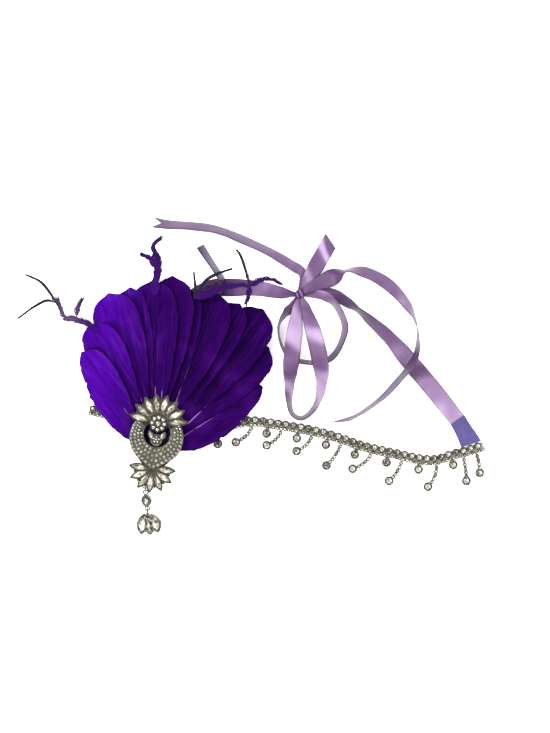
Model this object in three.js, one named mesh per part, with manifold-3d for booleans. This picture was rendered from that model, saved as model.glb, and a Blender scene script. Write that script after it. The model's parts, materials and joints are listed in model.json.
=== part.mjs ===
// A 1920s style feather headband lying flat: feather fan, brooch with drop, rhinestone chain and ribbon ties.
// Millimetres, +Z up. The origin is the middle of the felt pad's underside, on the surface that all lies on.
import * as THREE from "three";
import { mergeVertices } from "three/addons/utils/BufferGeometryUtils.js";
import Module from "manifold-3d";

const wasm = await Module();
wasm.setup();

// Gap that touching pieces keep, and the step between sheets that lie on each other.
const GAP = 0.3;

// Felt pad under the quills.
const PAD_RADIUS = 17;
const PAD_HEIGHT = 1.5;

// Feather fan: its quills meet at the fan's root, and the sheets turn round it like a low spiral stair.
const FAN_ROOT_Y = -18.4;
const FAN_REACH = 120;
const FAN_ROOT_HEIGHT = 6.6;
const FAN_CREST_HEIGHT = 9.7;
const FAN_TIP_HEIGHT = 5.8;
const FEATHER_WALL = 1;
const FEATHER_STEP = FEATHER_WALL + GAP + 0.05;
const FEATHER_HALF_WIDTH = 17;
const QUILL_START = 6.5;

// Each feather: degrees clockwise from +Y, length and both half widths as shares, and whether a side is full.
const FEATHERS = [
  { turn: -37, length: 0.71, left: 0.9, right: 0.72, fullLeft: true },
  { turn: -28.5, length: 0.815, left: 0.66, right: 0.94 },
  { turn: -17, length: 0.94, left: 0.98, right: 0.95 },
  { turn: -9.3, length: 0.945, left: 0.95, right: 0.6 },
  { turn: -1.7, length: 0.97, left: 0.92, right: 1 },
  { turn: 4.9, length: 1, left: 0.8, right: 0.98 },
  { turn: 9.9, length: 0.95, left: 0.8, right: 0.86 },
  { turn: 20.2, length: 0.965, left: 0.9, right: 1 },
  { turn: 29.1, length: 0.96, left: 0.95, right: 0.7 },
  { turn: 36.5, length: 1.005, left: 0.95, right: 1.05 },
  { turn: 46.5, length: 0.865, left: 0.95, right: 0.84 },
  { turn: 58, length: 0.7, left: 0.95, right: 0.9, fullRight: true },
];
const FRONT_FEATHER = { turn: 4.6, length: 0.86, left: 0.42, right: 0.42, level: 4 };

// Vane outline along a feather: share of its length, and share of the half width on a slim and a full side.
const VANE = [
  { along: 0, slim: 0.07, full: 0.07 },
  { along: 0.1, slim: 0.1, full: 0.52 },
  { along: 0.2, slim: 0.2, full: 0.8 },
  { along: 0.34, slim: 0.44, full: 0.97 },
  { along: 0.5, slim: 0.74, full: 1 },
  { along: 0.66, slim: 0.94, full: 0.88 },
  { along: 0.8, slim: 1, full: 0.66 },
  { along: 0.9, slim: 0.84, full: 0.42 },
  { along: 0.955, slim: 0.62, full: 0.27 },
  { along: 0.985, slim: 0.38, full: 0.18 },
  { along: 1, slim: 0.1, full: 0.08 },
];
// How far a vane's sides fall back from its tip, as a share of the half width, and how late along it they do.
const TIP_ROUNDING = 0.12;
const TIP_START = 8;

// Brooch, set over the quills and leaning a little to the left.
const BROOCH_X = -0.3;
const BROOCH_Y = -8.2;
const BROOCH_LEAN = -7.5;
const BROOCH_PLATE = 1.2;
const CRESCENT_RADIUS = 18.3;
const OPENING_RADIUS = 8.9;
const OPENING_RISE = 2.6;
const HORN_ANGLE = 40;
const PAVE_HORN_ANGLE = 62;
const TAIL_REACH = 22;
const TAIL_HALF_WIDTH = 4.5;
const CREST_RISE = 9.7;
const CREST_HUB_RADIUS = 5.2;
const CREST_TIP_RADIUS = 19.4;
const CREST_STONES = 8;
const CREST_SPREAD = 160;
const LOWER_DROP = 21.4;
const LOWER_HUB_RADIUS = 4.6;
const LOWER_TIP_RADIUS = 15.4;
const LOWER_STONES = 7;
const LOWER_SPREAD = 186;
const MARQUISE_LENGTH = 11.2;
const MARQUISE_WIDTH = 5.2;
const MARQUISE_HEIGHT = 3;
const ARM_WIDTH = 1.6;
const PAVE_STONE = 2.9;
const PAVE_HEIGHT = 1.5;
const PAVE_PITCH = 3.3;
const PAVE_BED = 0.9;
const CLUSTER_STONE = 3.3;
const CLUSTER_CENTRE_STONE = 4.2;
const CLUSTER_HEIGHT = 3.2;
const CLUSTER_STONES = 8;
// Flower of round stones on the crest's hub: its bed as shares of the hub, and its stones' heights and place.
const CLUSTER_FLOWER = { bed: 0.8, bedRise: 0.4, centreRise: 1.1, petalRise: 0.85, overlap: 0.45 };
// Flower in the crescent's opening: two marquises as shares of the main ones, and drops from its middle.
const INNER_FLOWER = {
  petalLength: 0.58,
  petalWidth: 0.69,
  petalRise: 0.8,
  lean: 28,
  aside: 3.9,
  petalDrop: 1.2,
  bed: 0.42,
  bedRise: 0.3,
  bedDrop: 4.2,
  middleRise: 0.8,
  middleDrop: 3.6,
};
const POST_RADIUS = 1.5;
const POST_BACK = 3.2;

// Drop: eye, link, marquise connector and a bud of pear stones, one through the other.
const DROP_SLOPE = 17.5;
const DROP_TURN = 12;
const EYE_RADIUS = 12.5;
const RING_RADIUS = 1.55;
const RING_WIRE = 0.42;
const LINK_RADIUS = 1.9;
const CONNECTOR_LENGTH = 9.4;
const CONNECTOR_WIDTH = 6.6;
const BUD_LENGTH = 15.5;
const BUD_WIDTH = 16.5;
const BUD_DEPTH = 5.6;
const CONNECTOR_SINK = 0.3;
// Pear stones of the bud: degrees from its middle line, and shares of its width, length, width and depth.
const BUD_PETALS = [
  { turn: -13, aside: -0.25, long: 0.9, wide: 0.46, deep: 0.86 },
  { turn: 15, aside: 0.25, long: 0.84, wide: 0.48, deep: 0.86 },
  { turn: 2, aside: 0, long: 0.97, wide: 0.5, deep: 1 },
];

// Rhinestone chain.
const CHAIN_WIDTH = 6.8;
const CHAIN_BASE = 0.9;
const CHAIN_HEIGHT = 3.2;
const CHAIN_STONE = 4.5;
const CHAIN_PITCH = 5.2;
const CHAIN_STEP = 8;
const RAIL_WIDTH = 1.8;
const RAIL_HEIGHT = 1.9;
const CHAIN_LIFT = PAD_HEIGHT + GAP;
const CHAIN_RAMP = 14;
const SHORT_DROP_STONE = 5.6;
const DROP_STONE_HEIGHT = 3;
const DROP_NECK = 1.5;
const LONG_DROP_WIDTH = 2.3;
const LONG_DROP_STONE = 2.2;
const LONG_DROP_END = 5.8;
const LONG_DROP_STONES = 3;

// Few chosen points of the chain's route, left end to middle and middle to right end.
const CHAIN_LEFT_ROUTE = [
  [-46.6, 10.2],
  [-34, 7.6],
  [-17, 5.6],
  [-0.2, 4.6],
];
const CHAIN_RIGHT_ROUTE = [
  [0.2, 4.6],
  [17, 3],
  [34, 1.2],
  [50.3, 0.3],
  [59, 2.2],
  [69, 2.1],
  [78.3, 0.7],
  [99.4, -2.9],
  [118.7, -7.5],
  [139.2, -14.5],
  [160.8, -19.5],
  [181.6, -23.8],
  [190, -23.6],
  [199, -20.6],
  [210, -17.8],
  [221.6, -14.2],
];

// Where drops hang along the right chain: share of its length, how far the drop reaches and its sideways bend.
const SHORT_DROPS = [
  { at: 0.185, reach: 3.1 },
  { at: 0.333, reach: 1.25 },
  { at: 0.425, reach: 1.2 },
  { at: 0.517, reach: 1.2 },
  { at: 0.61, reach: 1.2 },
  { at: 0.705, reach: 1.2 },
  { at: 0.802, reach: 1.2 },
  { at: 0.895, reach: 1.1 },
];
const LONG_DROP_REACH = 16;
const LONG_DROPS = [
  { at: 0.283, out: 0.66, aside: -0.66 },
  { at: 0.375, out: 0.7, aside: -0.52 },
  { at: 0.469, out: 0.74, aside: -0.5 },
  { at: 0.562, out: 1.04, aside: -0.28 },
  { at: 0.655, out: 0.78, aside: -0.62 },
  { at: 0.75, out: 0.94, aside: -0.34 },
  { at: 0.85, out: 0.84, aside: -0.5 },
  { at: 0.932, out: 0.98, aside: -0.12 },
  { at: 0.972, out: 0.8, aside: -0.12 },
];

// Satin ribbon. The bow's knot is where all its ends meet.
const RIBBON_WIDTH = 12;
const RIBBON_WALL = 1;
const RIBBON_STEP = 6;
const KNOT_X = 96.6;
const KNOT_Y = 89;
const KNOT_SIZE = 6.6;
const KNOT_HEIGHT = 7.6;
const KNOT_CORNERS = 12;
const TAB_AT = 0.965;
const TAB_LENGTH = 19;
const TAB_HEAD_WIDTH = 11.5;
const TAB_FOOT_WIDTH = 14;
const TAB_WALL = 1.6;
const TAB_LEAN = 29;
const TAB_HEAD_TURN = 36;

// Ribbon routes: x and y are shares of the run from the start, rise and span are shares of the ribbon's width,
// and lean turns the ribbon from lying flat (0) to standing on its edge (90). A row without x and y is an end
// at the knot, on the side that leave or enter gives in degrees from +X.
const TAIL_LONG = {
  leave: 92,
  runX: -100,
  runY: 48.7,
  notch: 0.5,
  rows: [
    { rise: 0.03, lean: 0, span: 0.25 },
    { x: -0.02, y: 0.28, rise: 0, lean: -12, span: 0.5 },
    { x: 0.07, y: 0.42, rise: 0, lean: -55, span: 0.9 },
    { x: 0.21, y: 0.59, rise: 0, lean: -65, span: 1 },
    { x: 0.39, y: 0.76, rise: 0, lean: -66, span: 1 },
    { x: 0.57, y: 0.9, rise: 0, lean: -67, span: 1 },
    { x: 0.75, y: 0.95, rise: 0, lean: -66, span: 1 },
    { x: 0.9, y: 0.97, rise: 0, lean: -63, span: 1 },
    { x: 1, y: 1, rise: 0, lean: -58, span: 1 },
  ],
};
const TAIL_CURL = {
  leave: 30,
  runX: 79.7,
  runY: -88.3,
  point: 0.8,
  rows: [
    { rise: 0.46, lean: 0, span: 0.25 },
    { x: 0.11, y: -0.06, rise: 0.46, lean: 0, span: 0.6 },
    { x: 0.26, y: -0.12, rise: 0.44, lean: 12, span: 1 },
    { x: 0.39, y: -0.18, rise: 0.1, lean: 78, span: 1 },
    { x: 0.56, y: -0.166, rise: 0, lean: 50, span: 1 },
    { x: 0.74, y: -0.08, rise: 0, lean: 42, span: 1 },
    { x: 0.9, y: 0.07, rise: 0, lean: 55, span: 1 },
    { x: 0.98, y: 0.2, rise: 0, lean: 78, span: 1 },
    { x: 1, y: 0.31, rise: 0.1, lean: 95, span: 1 },
    { x: 0.99, y: 0.45, rise: 0.38, lean: 114, span: 1 },
    { x: 0.94, y: 0.55, rise: 0.36, lean: 120, span: 1 },
    { x: 0.83, y: 0.67, rise: 0.26, lean: 122, span: 1 },
    { x: 0.73, y: 0.77, rise: 0.05, lean: 120, span: 1 },
    { x: 0.61, y: 0.86, rise: 0, lean: 116, span: 0.95 },
    { x: 0.47, y: 0.94, rise: 0, lean: 112, span: 0.8 },
    { x: 0.28, y: 1, rise: 0, lean: 108, span: 0.5 },
  ],
};
const TIE_RIGHT = {
  leave: 5,
  rows: [
    { rise: 0.03, lean: 0, span: 0.25 },
    { x: 0.18, y: -0.01, rise: 0, lean: -10, span: 0.6 },
    { x: 0.286, y: 0.06, rise: 0, lean: -55, span: 0.9 },
    { x: 0.362, y: 0.125, rise: 0, lean: -74, span: 1 },
    { x: 0.45, y: 0.22, rise: 0, lean: -58, span: 1 },
    { x: 0.55, y: 0.33, rise: 0, lean: -46, span: 1 },
    { x: 0.69, y: 0.53, rise: 0, lean: -14, span: 1 },
    { x: 0.84, y: 0.75, rise: 0, lean: -12, span: 1 },
    { x: 1, y: 1, rise: 0, lean: 0, span: 0.92 },
  ],
};
const LOOP_RING = {
  leave: -123,
  enter: -2,
  runX: 30.2,
  runY: -46.4,
  rows: [
    { rise: 0.03, lean: 0, span: 0.25 },
    { x: -0.18, y: 0.185, rise: 0.0, lean: 20, span: 0.5 },
    { x: -0.35, y: 0.31, rise: 0, lean: 74, span: 1 },
    { x: -0.46, y: 0.44, rise: 0, lean: 82, span: 1 },
    { x: -0.47, y: 0.61, rise: 0, lean: 83, span: 1 },
    { x: -0.34, y: 0.84, rise: 0, lean: 80, span: 1 },
    { x: -0.18, y: 0.94, rise: 0, lean: 74, span: 1 },
    { x: 0.25, y: 1, rise: 0, lean: 74, span: 1 },
    { x: 0.6, y: 0.97, rise: 0, lean: 74, span: 1 },
    { x: 0.8, y: 0.86, rise: 0, lean: 72, span: 1 },
    { x: 1, y: 0.53, rise: 0, lean: 70, span: 1 },
    { x: 0.96, y: 0.37, rise: 0.1, lean: 72, span: 1 },
    { x: 0.76, y: 0.14, rise: 0.24, lean: 70, span: 1 },
    { x: 0.5, y: 0.02, rise: 0.24, lean: 35, span: 0.6 },
    { rise: 0.22, lean: 0, span: 0.25 },
  ],
};
const LOOP_DOWN = {
  leave: -99,
  enter: -70,
  runX: 14.2,
  runY: -84.1,
  rows: [
    { rise: 0.22, lean: 0, span: 0.25 },
    { x: -0.12, y: 0.12, rise: 0.3, lean: 0, span: 0.6 },
    { x: -0.28, y: 0.33, rise: 0.8, lean: 8, span: 0.93 },
    { x: -0.41, y: 0.53, rise: 1.08, lean: 22, span: 1 },
    { x: -0.46, y: 0.62, rise: 1, lean: 36, span: 1 },
    { x: -0.5, y: 0.735, rise: 0.35, lean: 55, span: 1 },
    { x: -0.5, y: 0.888, rise: 0, lean: 80, span: 1 },
    { x: -0.34, y: 0.97, rise: 0, lean: 86, span: 1 },
    { x: 0.05, y: 1, rise: 0, lean: 88, span: 1 },
    { x: 0.4, y: 0.97, rise: 0, lean: 86, span: 1 },
    { x: 0.76, y: 0.89, rise: 0, lean: 80, span: 1 },
    { x: 1, y: 0.735, rise: 0.35, lean: 55, span: 1 },
    { x: 1, y: 0.62, rise: 1, lean: 36, span: 1 },
    { x: 0.92, y: 0.53, rise: 1.08, lean: 22, span: 1 },
    { x: 0.66, y: 0.33, rise: 0.9, lean: 8, span: 0.93 },
    { x: 0.26, y: 0.12, rise: 0.55, lean: 0, span: 0.6 },
    { rise: 0.42, lean: 0, span: 0.25 },
  ],
};
const TIE_LEFT = {
  leave: 187,
  rows: [
    { rise: 0.03, lean: 0, span: 0.25 },
    { x: 0.1, y: -0.015, rise: 0, lean: 25, span: 0.75 },
    { x: 0.17, y: -0.04, rise: 0, lean: 38, span: 1 },
    { x: 0.24, y: -0.055, rise: 0, lean: 30, span: 1 },
    { x: 0.34, y: -0.06, rise: 0, lean: 8, span: 1 },
    { x: 0.41, y: -0.055, rise: 0, lean: 0, span: 1 },
    { x: 0.5, y: 0.03, rise: 0, lean: 0, span: 1 },
    { x: 0.66, y: 0.32, rise: 0, lean: 0, span: 1 },
    { x: 0.84, y: 0.68, rise: 0, lean: 0, span: 1 },
    { x: 0.985, y: 0.965, rise: 0, lean: 0, span: 0.6 },
  ],
};
const TAIL_SHORT = {
  startX: 16,
  startY: 78,
  runX: 27.5,
  runY: 43.5,
  rows: [
    { x: 0, y: 0, rise: 0.15, lean: 0, span: 1 },
    { x: 0.4, y: 0.2, rise: 0.15, lean: 0, span: 1 },
    { x: 0.86, y: 0.32, rise: 0.2, lean: -40, span: 1 },
    { x: 1, y: 0.46, rise: 0.2, lean: -68, span: 1 },
    { x: 0.87, y: 0.62, rise: 0.1, lean: -68, span: 1 },
    { x: 0.7, y: 0.78, rise: 0, lean: -68, span: 1 },
    { x: 0.47, y: 1, rise: 0, lean: -65, span: 1 },
  ],
};

// The loop that stands up from the knot, pressed flat, with its fold cut across at a slant.
const LOOP_UP_LENGTH = 39;
const LOOP_UP_TURN = 60;
const LOOP_UP_WIDTH = 11;
const LOOP_UP_SLANT = 0.5;
const LOOP_UP_BASE = 2.7;
const LOOP_UP_OPEN = 3.6;

// Wisps: stems and barbs of stripped plume. x and y are shares of the wisp's reach from its root, z of height.
const STEM_RADIUS = 0.55;
const STEM_TAPER = 0.4;
const STEM_CORNERS = 5;
const WISP_REACH = 50;
const WISP_HEIGHT = 10;
const WISP_LEFT = {
  turn: -22.8,
  radius: 79,
  level: 1,
  strands: [
    [[0, 0, 0], [-0.3, 0.27, 0], [-0.48, 0.34, -0.05],
      [-0.62, 0.37, -0.1], [-0.7, 0.5, -0.2], [-0.74, 0.62, -0.3]],
    [[-0.7, 0.47, -0.18], [-0.86, 0.73, -0.3], [-0.98, 0.86, -0.4], [-1.17, 0.95, -0.5]],
    [[-0.72, 0.56, -0.25], [-0.88, 0.6, -0.35], [-1.04, 0.53, -0.42], [-1.28, 0.36, -0.5]],
    [[-0.48, 0.34, -0.05], [-0.46, 0.5, 0.05], [-0.4, 0.62, 0.1]],
  ],
};
const WISP_TOP = {
  turn: -1.2,
  radius: 106.4,
  level: 4,
  strands: [
    [[0, 0, 0], [0.03, 0.22, 0.05], [0.05, 0.4, 0.2], [-0.06, 0.5, 0.3], [-0.19, 0.56, 0.3]],
    [[0.03, 0.22, 0.05], [0.06, 0.46, 0.1], [0, 0.66, 0.1], [0.12, 0.8, 0]],
    [[0.05, 0.36, 0.15], [-0.02, 0.44, 0.2], [0.0, 0.6, 0.1]],
  ],
};
const WISP_RIGHT = {
  turn: 13.4,
  radius: 107,
  level: 5,
  strands: [
    [[0, 0, 0], [0.18, 0.06, 0.3], [0.4, 0.14, 0.4], [0.6, 0.18, 0.3], [0.76, 0.17, 0.2]],
    [[0.76, 0.17, 0.2], [0.7, 0.38, 0.1], [0.62, 0.6, 0], [0.57, 0.66, 0]],
    [[0.76, 0.17, 0.2], [0.9, 0.25, 0], [1.05, 0.26, -0.2], [1.2, 0.19, -0.4]],
    [[0.76, 0.17, 0.2], [0.74, 0.04, 0.1], [0.7, -0.08, 0]],
    [[0, 0, 0], [0.02, 0.12, 0.1], [0, 0.36, 0.2]],
    [[0, 0, 0], [0.16, 0.24, 0.35], [0.34, 0.34, 0.4], [0.52, 0.4, 0.3]],
  ],
};

const FINISH = {
  feather: new THREE.MeshStandardMaterial({ name: "feather", color: 0x4b0fa0, roughness: 0.6 }),
  wisp: new THREE.MeshStandardMaterial({ name: "wisp", color: 0x2b1536, roughness: 0.8 }),
  felt: new THREE.MeshStandardMaterial({ name: "felt", color: 0x6a5ab8, roughness: 0.95 }),
  satin: new THREE.MeshStandardMaterial({ name: "satin", color: 0xa684c4, roughness: 0.35 }),
  silver: new THREE.MeshStandardMaterial({ name: "silver", color: 0xb9b6ac, roughness: 0.25, metalness: 1 }),
  stone: new THREE.MeshStandardMaterial({ name: "stone", color: 0xe4e0d6, roughness: 0.08, metalness: 0.2 }),
};

const Z_AXIS = new THREE.Vector3(0, 0, 1);
const root = new THREE.Group();
const radians = THREE.MathUtils.degToRad;

// Adds a finished piece to its parent group as a named mesh.
function addPiece(name, geometry, finish, parent = root) {
  const mesh = new THREE.Mesh(geometry, FINISH[finish]);
  mesh.name = name;
  parent.add(mesh);
}

// Turns the faces of a closed indexed geometry outwards.
function facingOut(geometry) {
  const position = geometry.getAttribute("position");
  const index = geometry.index.array;
  const [a, b, c] = [new THREE.Vector3(), new THREE.Vector3(), new THREE.Vector3()];
  let volume = 0;
  for (let i = 0; i < index.length; i += 3) {
    a.fromBufferAttribute(position, index[i]);
    b.fromBufferAttribute(position, index[i + 1]);
    c.fromBufferAttribute(position, index[i + 2]);
    volume += a.dot(b.cross(c));
  }
  if (volume < 0) index.reverse();
  return geometry;
}

function indexedGeometry(points, index) {
  const geometry = new THREE.BufferGeometry().setFromPoints(points);
  geometry.setIndex(index);
  return facingOut(geometry);
}

// Closed body through rings of equal count, with a flat fan over the first and the last ring.
function loft(rings) {
  const count = rings[0].length;
  const index = [];
  for (let r = 0; r + 1 < rings.length; r++)
    for (let k = 0; k < count; k++) {
      const [near, next] = [r * count + k, r * count + ((k + 1) % count)];
      index.push(near, next, next + count, near, next + count, near + count);
    }
  const last = (rings.length - 1) * count;
  for (let k = 1; k + 1 < count; k++) index.push(0, k + 1, k, last, last + k, last + k + 1);
  return indexedGeometry(rings.flat(), index);
}

// Closed body between two grids of points, such as the two faces of a sheet.
function sheetBody(top, bottom) {
  const [rows, columns] = [top.length, top[0].length];
  const at = (side, r, c) => (side * rows + r) * columns + c;
  const index = [];
  const quad = (a, b, c, d) => index.push(a, b, c, a, c, d);
  for (let r = 0; r + 1 < rows; r++)
    for (let c = 0; c + 1 < columns; c++) {
      quad(at(0, r, c), at(0, r, c + 1), at(0, r + 1, c + 1), at(0, r + 1, c));
      quad(at(1, r, c), at(1, r + 1, c), at(1, r + 1, c + 1), at(1, r, c + 1));
    }
  for (let r = 0; r + 1 < rows; r++) {
    quad(at(0, r, 0), at(0, r + 1, 0), at(1, r + 1, 0), at(1, r, 0));
    quad(at(0, r + 1, columns - 1), at(0, r, columns - 1), at(1, r, columns - 1), at(1, r + 1, columns - 1));
  }
  for (let c = 0; c + 1 < columns; c++) {
    quad(at(0, 0, c + 1), at(0, 0, c), at(1, 0, c), at(1, 0, c + 1));
    quad(at(0, rows - 1, c), at(0, rows - 1, c + 1), at(1, rows - 1, c + 1), at(1, rows - 1, c));
  }
  return indexedGeometry([...top.flat(), ...bottom.flat()], index);
}

function solidOf(geometry) {
  const bare = geometry.clone();
  bare.deleteAttribute("normal");
  bare.deleteAttribute("uv");
  const merged = mergeVertices(bare, 1e-4);
  return new wasm.Manifold(
    new wasm.Mesh({
      numProp: 3,
      vertProperties: new Float32Array(merged.getAttribute("position").array),
      triVerts: new Uint32Array(merged.index.array),
    }),
  );
}

function geometryOf(solid) {
  const mesh = solid.getMesh();
  const geometry = new THREE.BufferGeometry();
  geometry.setAttribute("position", new THREE.BufferAttribute(new Float32Array(mesh.vertProperties), 3));
  geometry.setIndex([...mesh.triVerts]);
  return geometry;
}

// One body of several geometries that meet or cross.
function fused(geometries) {
  return geometryOf(geometries.map(solidOf).reduce((whole, solid) => whole.add(solid)));
}

const smooth = (t) => t * t * (3 - 2 * t);

// Value of one column of a table between two of its rows, easing from row to row.
function eased(rows, column, place) {
  const row = Math.min(Math.floor(place), rows.length - 2);
  return THREE.MathUtils.lerp(rows[row][column], rows[row + 1][column], smooth(place - row));
}

const STONE_CORNERS = 8;
// Rings of a cut stone in its cup, as shares of its outline and height. Only a marquise has the cup's rim.
const STONE_RINGS = [
  { size: 0.84, rise: 0 },
  { size: 1, rise: 0.55 },
  { size: 0.9, rise: 0.62, marquiseOnly: true },
  { size: 0.56, rise: 1 },
];
const SMALL_TABLE = 0.6;

// Ring of points in a plane: an ellipse with the given number of corners, or a marquise with two points.
function outline(corners, halfLength, halfWidth, z, pointed = false) {
  const ring = [];
  for (let k = 0; k < corners; k++) {
    const turn = (2 * Math.PI * k) / corners;
    const across = pointed ? Math.sign(Math.sin(turn)) * Math.sin(turn) ** 2 : Math.sin(turn);
    ring.push(new THREE.Vector3(Math.cos(turn) * halfLength, across * halfWidth, z));
  }
  return ring;
}

// Cut stone in its cup, standing on z = 0: cup wall, crown facets and table.
function cutStone(length, width, height, pointed = false) {
  const rings = STONE_RINGS.filter((ring) => pointed || !ring.marquiseOnly);
  const [halfLength, halfWidth] = [length / 2, width / 2];
  return loft(
    rings.map(({ size, rise }) =>
      outline(STONE_CORNERS, halfLength * size, halfWidth * size, height * rise, pointed),
    ),
  );
}

// Small stone as one frustum with eight crown facets and a table.
function smallStone(size, height) {
  const ring = (share, z) => outline(STONE_CORNERS, (size / 2) * share, (size / 2) * share, z);
  return loft([ring(1, 0), ring(SMALL_TABLE, height)]);
}

// Height of the fan's middle sheet at a distance from the fan's root.
function fanHeight(radius) {
  const t = Math.min(radius / FAN_REACH, 1);
  return (1 - t) ** 2 * FAN_ROOT_HEIGHT + 2 * t * (1 - t) * FAN_CREST_HEIGHT + t * t * FAN_TIP_HEIGHT;
}

// Number of the feather that lies at a turn, with fractions between them and a short run past the outer ones.
function featherNumber(turn) {
  const last = FEATHERS.length - 1;
  if (turn <= FEATHERS[0].turn) return 1 - 0.5 * Math.tanh((FEATHERS[0].turn - turn) / 20);
  if (turn >= FEATHERS[last].turn) return last + 1 + 0.5 * Math.tanh((turn - FEATHERS[last].turn) / 20);
  const after = FEATHERS.findIndex((feather) => feather.turn > turn);
  const [low, high] = [FEATHERS[after - 1].turn, FEATHERS[after].turn];
  return after + (turn - low) / (high - low);
}

// Middle of a sheet of the fan at a level: feathers further left lie higher at every point that they share.
function fanPoint(x, y, level) {
  const radius = Math.hypot(x, y - FAN_ROOT_Y);
  const turn = THREE.MathUtils.radToDeg(Math.atan2(x, y - FAN_ROOT_Y));
  return new THREE.Vector3(x, y, fanHeight(radius) + FEATHER_STEP * (featherNumber(turn) - level));
}

// One feather blade: five points across at each row of the vane table.
function featherBlade({ turn, length, left, right, fullLeft, fullRight, level }) {
  const reach = length * FAN_REACH - QUILL_START;
  const [sin, cos] = [Math.sin(radians(turn)), Math.cos(radians(turn))];
  const sides = [-1, -0.5, 0, 0.5, 1];
  const rowAt = (vane, lift) =>
    sides.map((side) => {
      const full = side < 0 ? fullLeft : fullRight;
      const share = (side < 0 ? left : right) * (full ? vane.full : vane.slim);
      const fallBack = side ** 2 * vane.along ** TIP_START * FEATHER_HALF_WIDTH * TIP_ROUNDING;
      const out = QUILL_START + vane.along * reach - fallBack;
      const aside = side * share * FEATHER_HALF_WIDTH;
      const point = fanPoint(out * sin + aside * cos, FAN_ROOT_Y + out * cos - aside * sin, level);
      point.z += lift;
      return point;
    });
  const top = VANE.map((vane) => rowAt(vane, FEATHER_WALL / 2));
  const bottom = VANE.map((vane) => rowAt(vane, -FEATHER_WALL / 2));
  return sheetBody(top, bottom);
}

function addFeathers() {
  FEATHERS.forEach((feather, i) => {
    const level = i + 1;
    addPiece(`feather_${level}`, featherBlade({ ...feather, level }), "feather");
  });
  addPiece("feather_front", featherBlade(FRONT_FEATHER), "feather");
}

// Thin round strand along few points, tapering to its tip.
function strand(points, radius) {
  const curve = new THREE.CatmullRomCurve3(points, false, "centripetal");
  const steps = points.length;
  const rings = [];
  for (let i = 0; i <= steps; i++) {
    const [centre, along] = [curve.getPoint(i / steps), curve.getTangent(i / steps)];
    const across = new THREE.Vector3().crossVectors(along, Z_AXIS).normalize();
    const up = new THREE.Vector3().crossVectors(across, along);
    const size = radius * (1 - (STEM_TAPER * i) / steps);
    const around = (p) => centre.clone().addScaledVector(across, p.x).addScaledVector(up, p.y);
    rings.push(outline(STEM_CORNERS, size, size, 0).map(around));
  }
  return loft(rings);
}

function addWisp(name, { turn, radius, level, strands }) {
  const [x, y] = [radius * Math.sin(radians(turn)), FAN_ROOT_Y + radius * Math.cos(radians(turn))];
  const start = fanPoint(x, y, level);
  const route = (rows) =>
    rows.map(
      ([along, up, rise]) =>
        new THREE.Vector3(
          start.x + along * WISP_REACH,
          start.y + up * WISP_REACH,
          start.z + rise * WISP_HEIGHT,
        ),
    );
  addPiece(name, fused(strands.map((rows) => strand(route(rows), STEM_RADIUS))), "wisp");
}

// Brooch

const FRONT_LEVELS = 2.8;
const BROOCH_BACK = fanHeight(CRESCENT_RADIUS * 2) + FEATHER_STEP * FRONT_LEVELS + FEATHER_WALL / 2 + GAP;
// The post stands behind the quills' ends, between them and the pad's edge.
const BROOCH_POST_Y = FAN_ROOT_Y + POST_BACK - BROOCH_Y;

// Flat plate of a shape, from z = 0 up.
function plate(shape, thickness, curveSegments = 9) {
  return new THREE.ExtrudeGeometry(shape, { depth: thickness, bevelEnabled: false, curveSegments });
}

// Crescent with its horns up and its belly drawn out to the tail, set in from its edge by a margin.
function crescentShape(margin, hornAngle) {
  const [outer, inner] = [CRESCENT_RADIUS - margin, OPENING_RADIUS + margin];
  const [belly, horn] = [radians(-128), radians(90 + hornAngle)];
  const tail = TAIL_REACH - margin;
  const shape = new THREE.Shape();
  shape.moveTo(Math.cos(horn) * -outer, Math.sin(horn) * outer);
  shape.absarc(0, 0, outer, Math.PI - horn, Math.PI - belly - 2 * Math.PI, true);
  shape.lineTo(TAIL_HALF_WIDTH - margin, -tail);
  shape.lineTo(margin - TAIL_HALF_WIDTH, -tail);
  shape.absarc(0, 0, outer, belly, horn - 2 * Math.PI, true);
  shape.absarc(0, OPENING_RISE, inner, horn, Math.PI - horn + 2 * Math.PI, false);
  shape.closePath();
  return shape;
}

// Points round a hub at even turns, the first and last at half the spread from the middle turn.
function spreadTurns(count, spread, middle) {
  return Array.from({ length: count }, (_, i) => middle + spread * (i / (count - 1) - 0.5));
}

const CREST_TURNS = spreadTurns(CREST_STONES, CREST_SPREAD, 90);
const LOWER_TURNS = spreadTurns(LOWER_STONES, LOWER_SPREAD, -90);

// Bar from a hub outwards, under a stone.
function arm(turn, hubY, reach) {
  const bar = new THREE.BoxGeometry(reach, ARM_WIDTH, BROOCH_PLATE);
  bar.translate(reach / 2, 0, BROOCH_PLATE / 2);
  bar.rotateZ(radians(turn));
  return bar.translate(0, hubY, 0);
}

function disc(radius, height, x, y, sides = 16) {
  const geometry = new THREE.CylinderGeometry(radius, radius, height, sides);
  return geometry.rotateX(Math.PI / 2).translate(x, y, height / 2);
}

// Where the drop's eye hangs, between two lower stones, in the brooch's frame with the plate's back at z = 0.
const EYE_TURN = LOWER_TURNS[2] + LOWER_SPREAD / (LOWER_STONES - 1) / 2;
const DROP_MATRIX = new THREE.Matrix4()
  .makeTranslation(
    EYE_RADIUS * Math.cos(radians(EYE_TURN)),
    EYE_RADIUS * Math.sin(radians(EYE_TURN)) - LOWER_DROP,
    BROOCH_PLATE / 2,
  )
  .multiply(new THREE.Matrix4().makeRotationZ(radians(-90 + DROP_TURN)))
  .multiply(new THREE.Matrix4().makeRotationY(radians(DROP_SLOPE)));

// Wire ring with its hole along z, or along y when it stands.
function wireRing(x, radius, standing) {
  const ring = new THREE.TorusGeometry(radius, RING_WIRE, 6, 10);
  if (standing) ring.rotateX(Math.PI / 2);
  return ring.translate(x, 0, 0);
}

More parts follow.
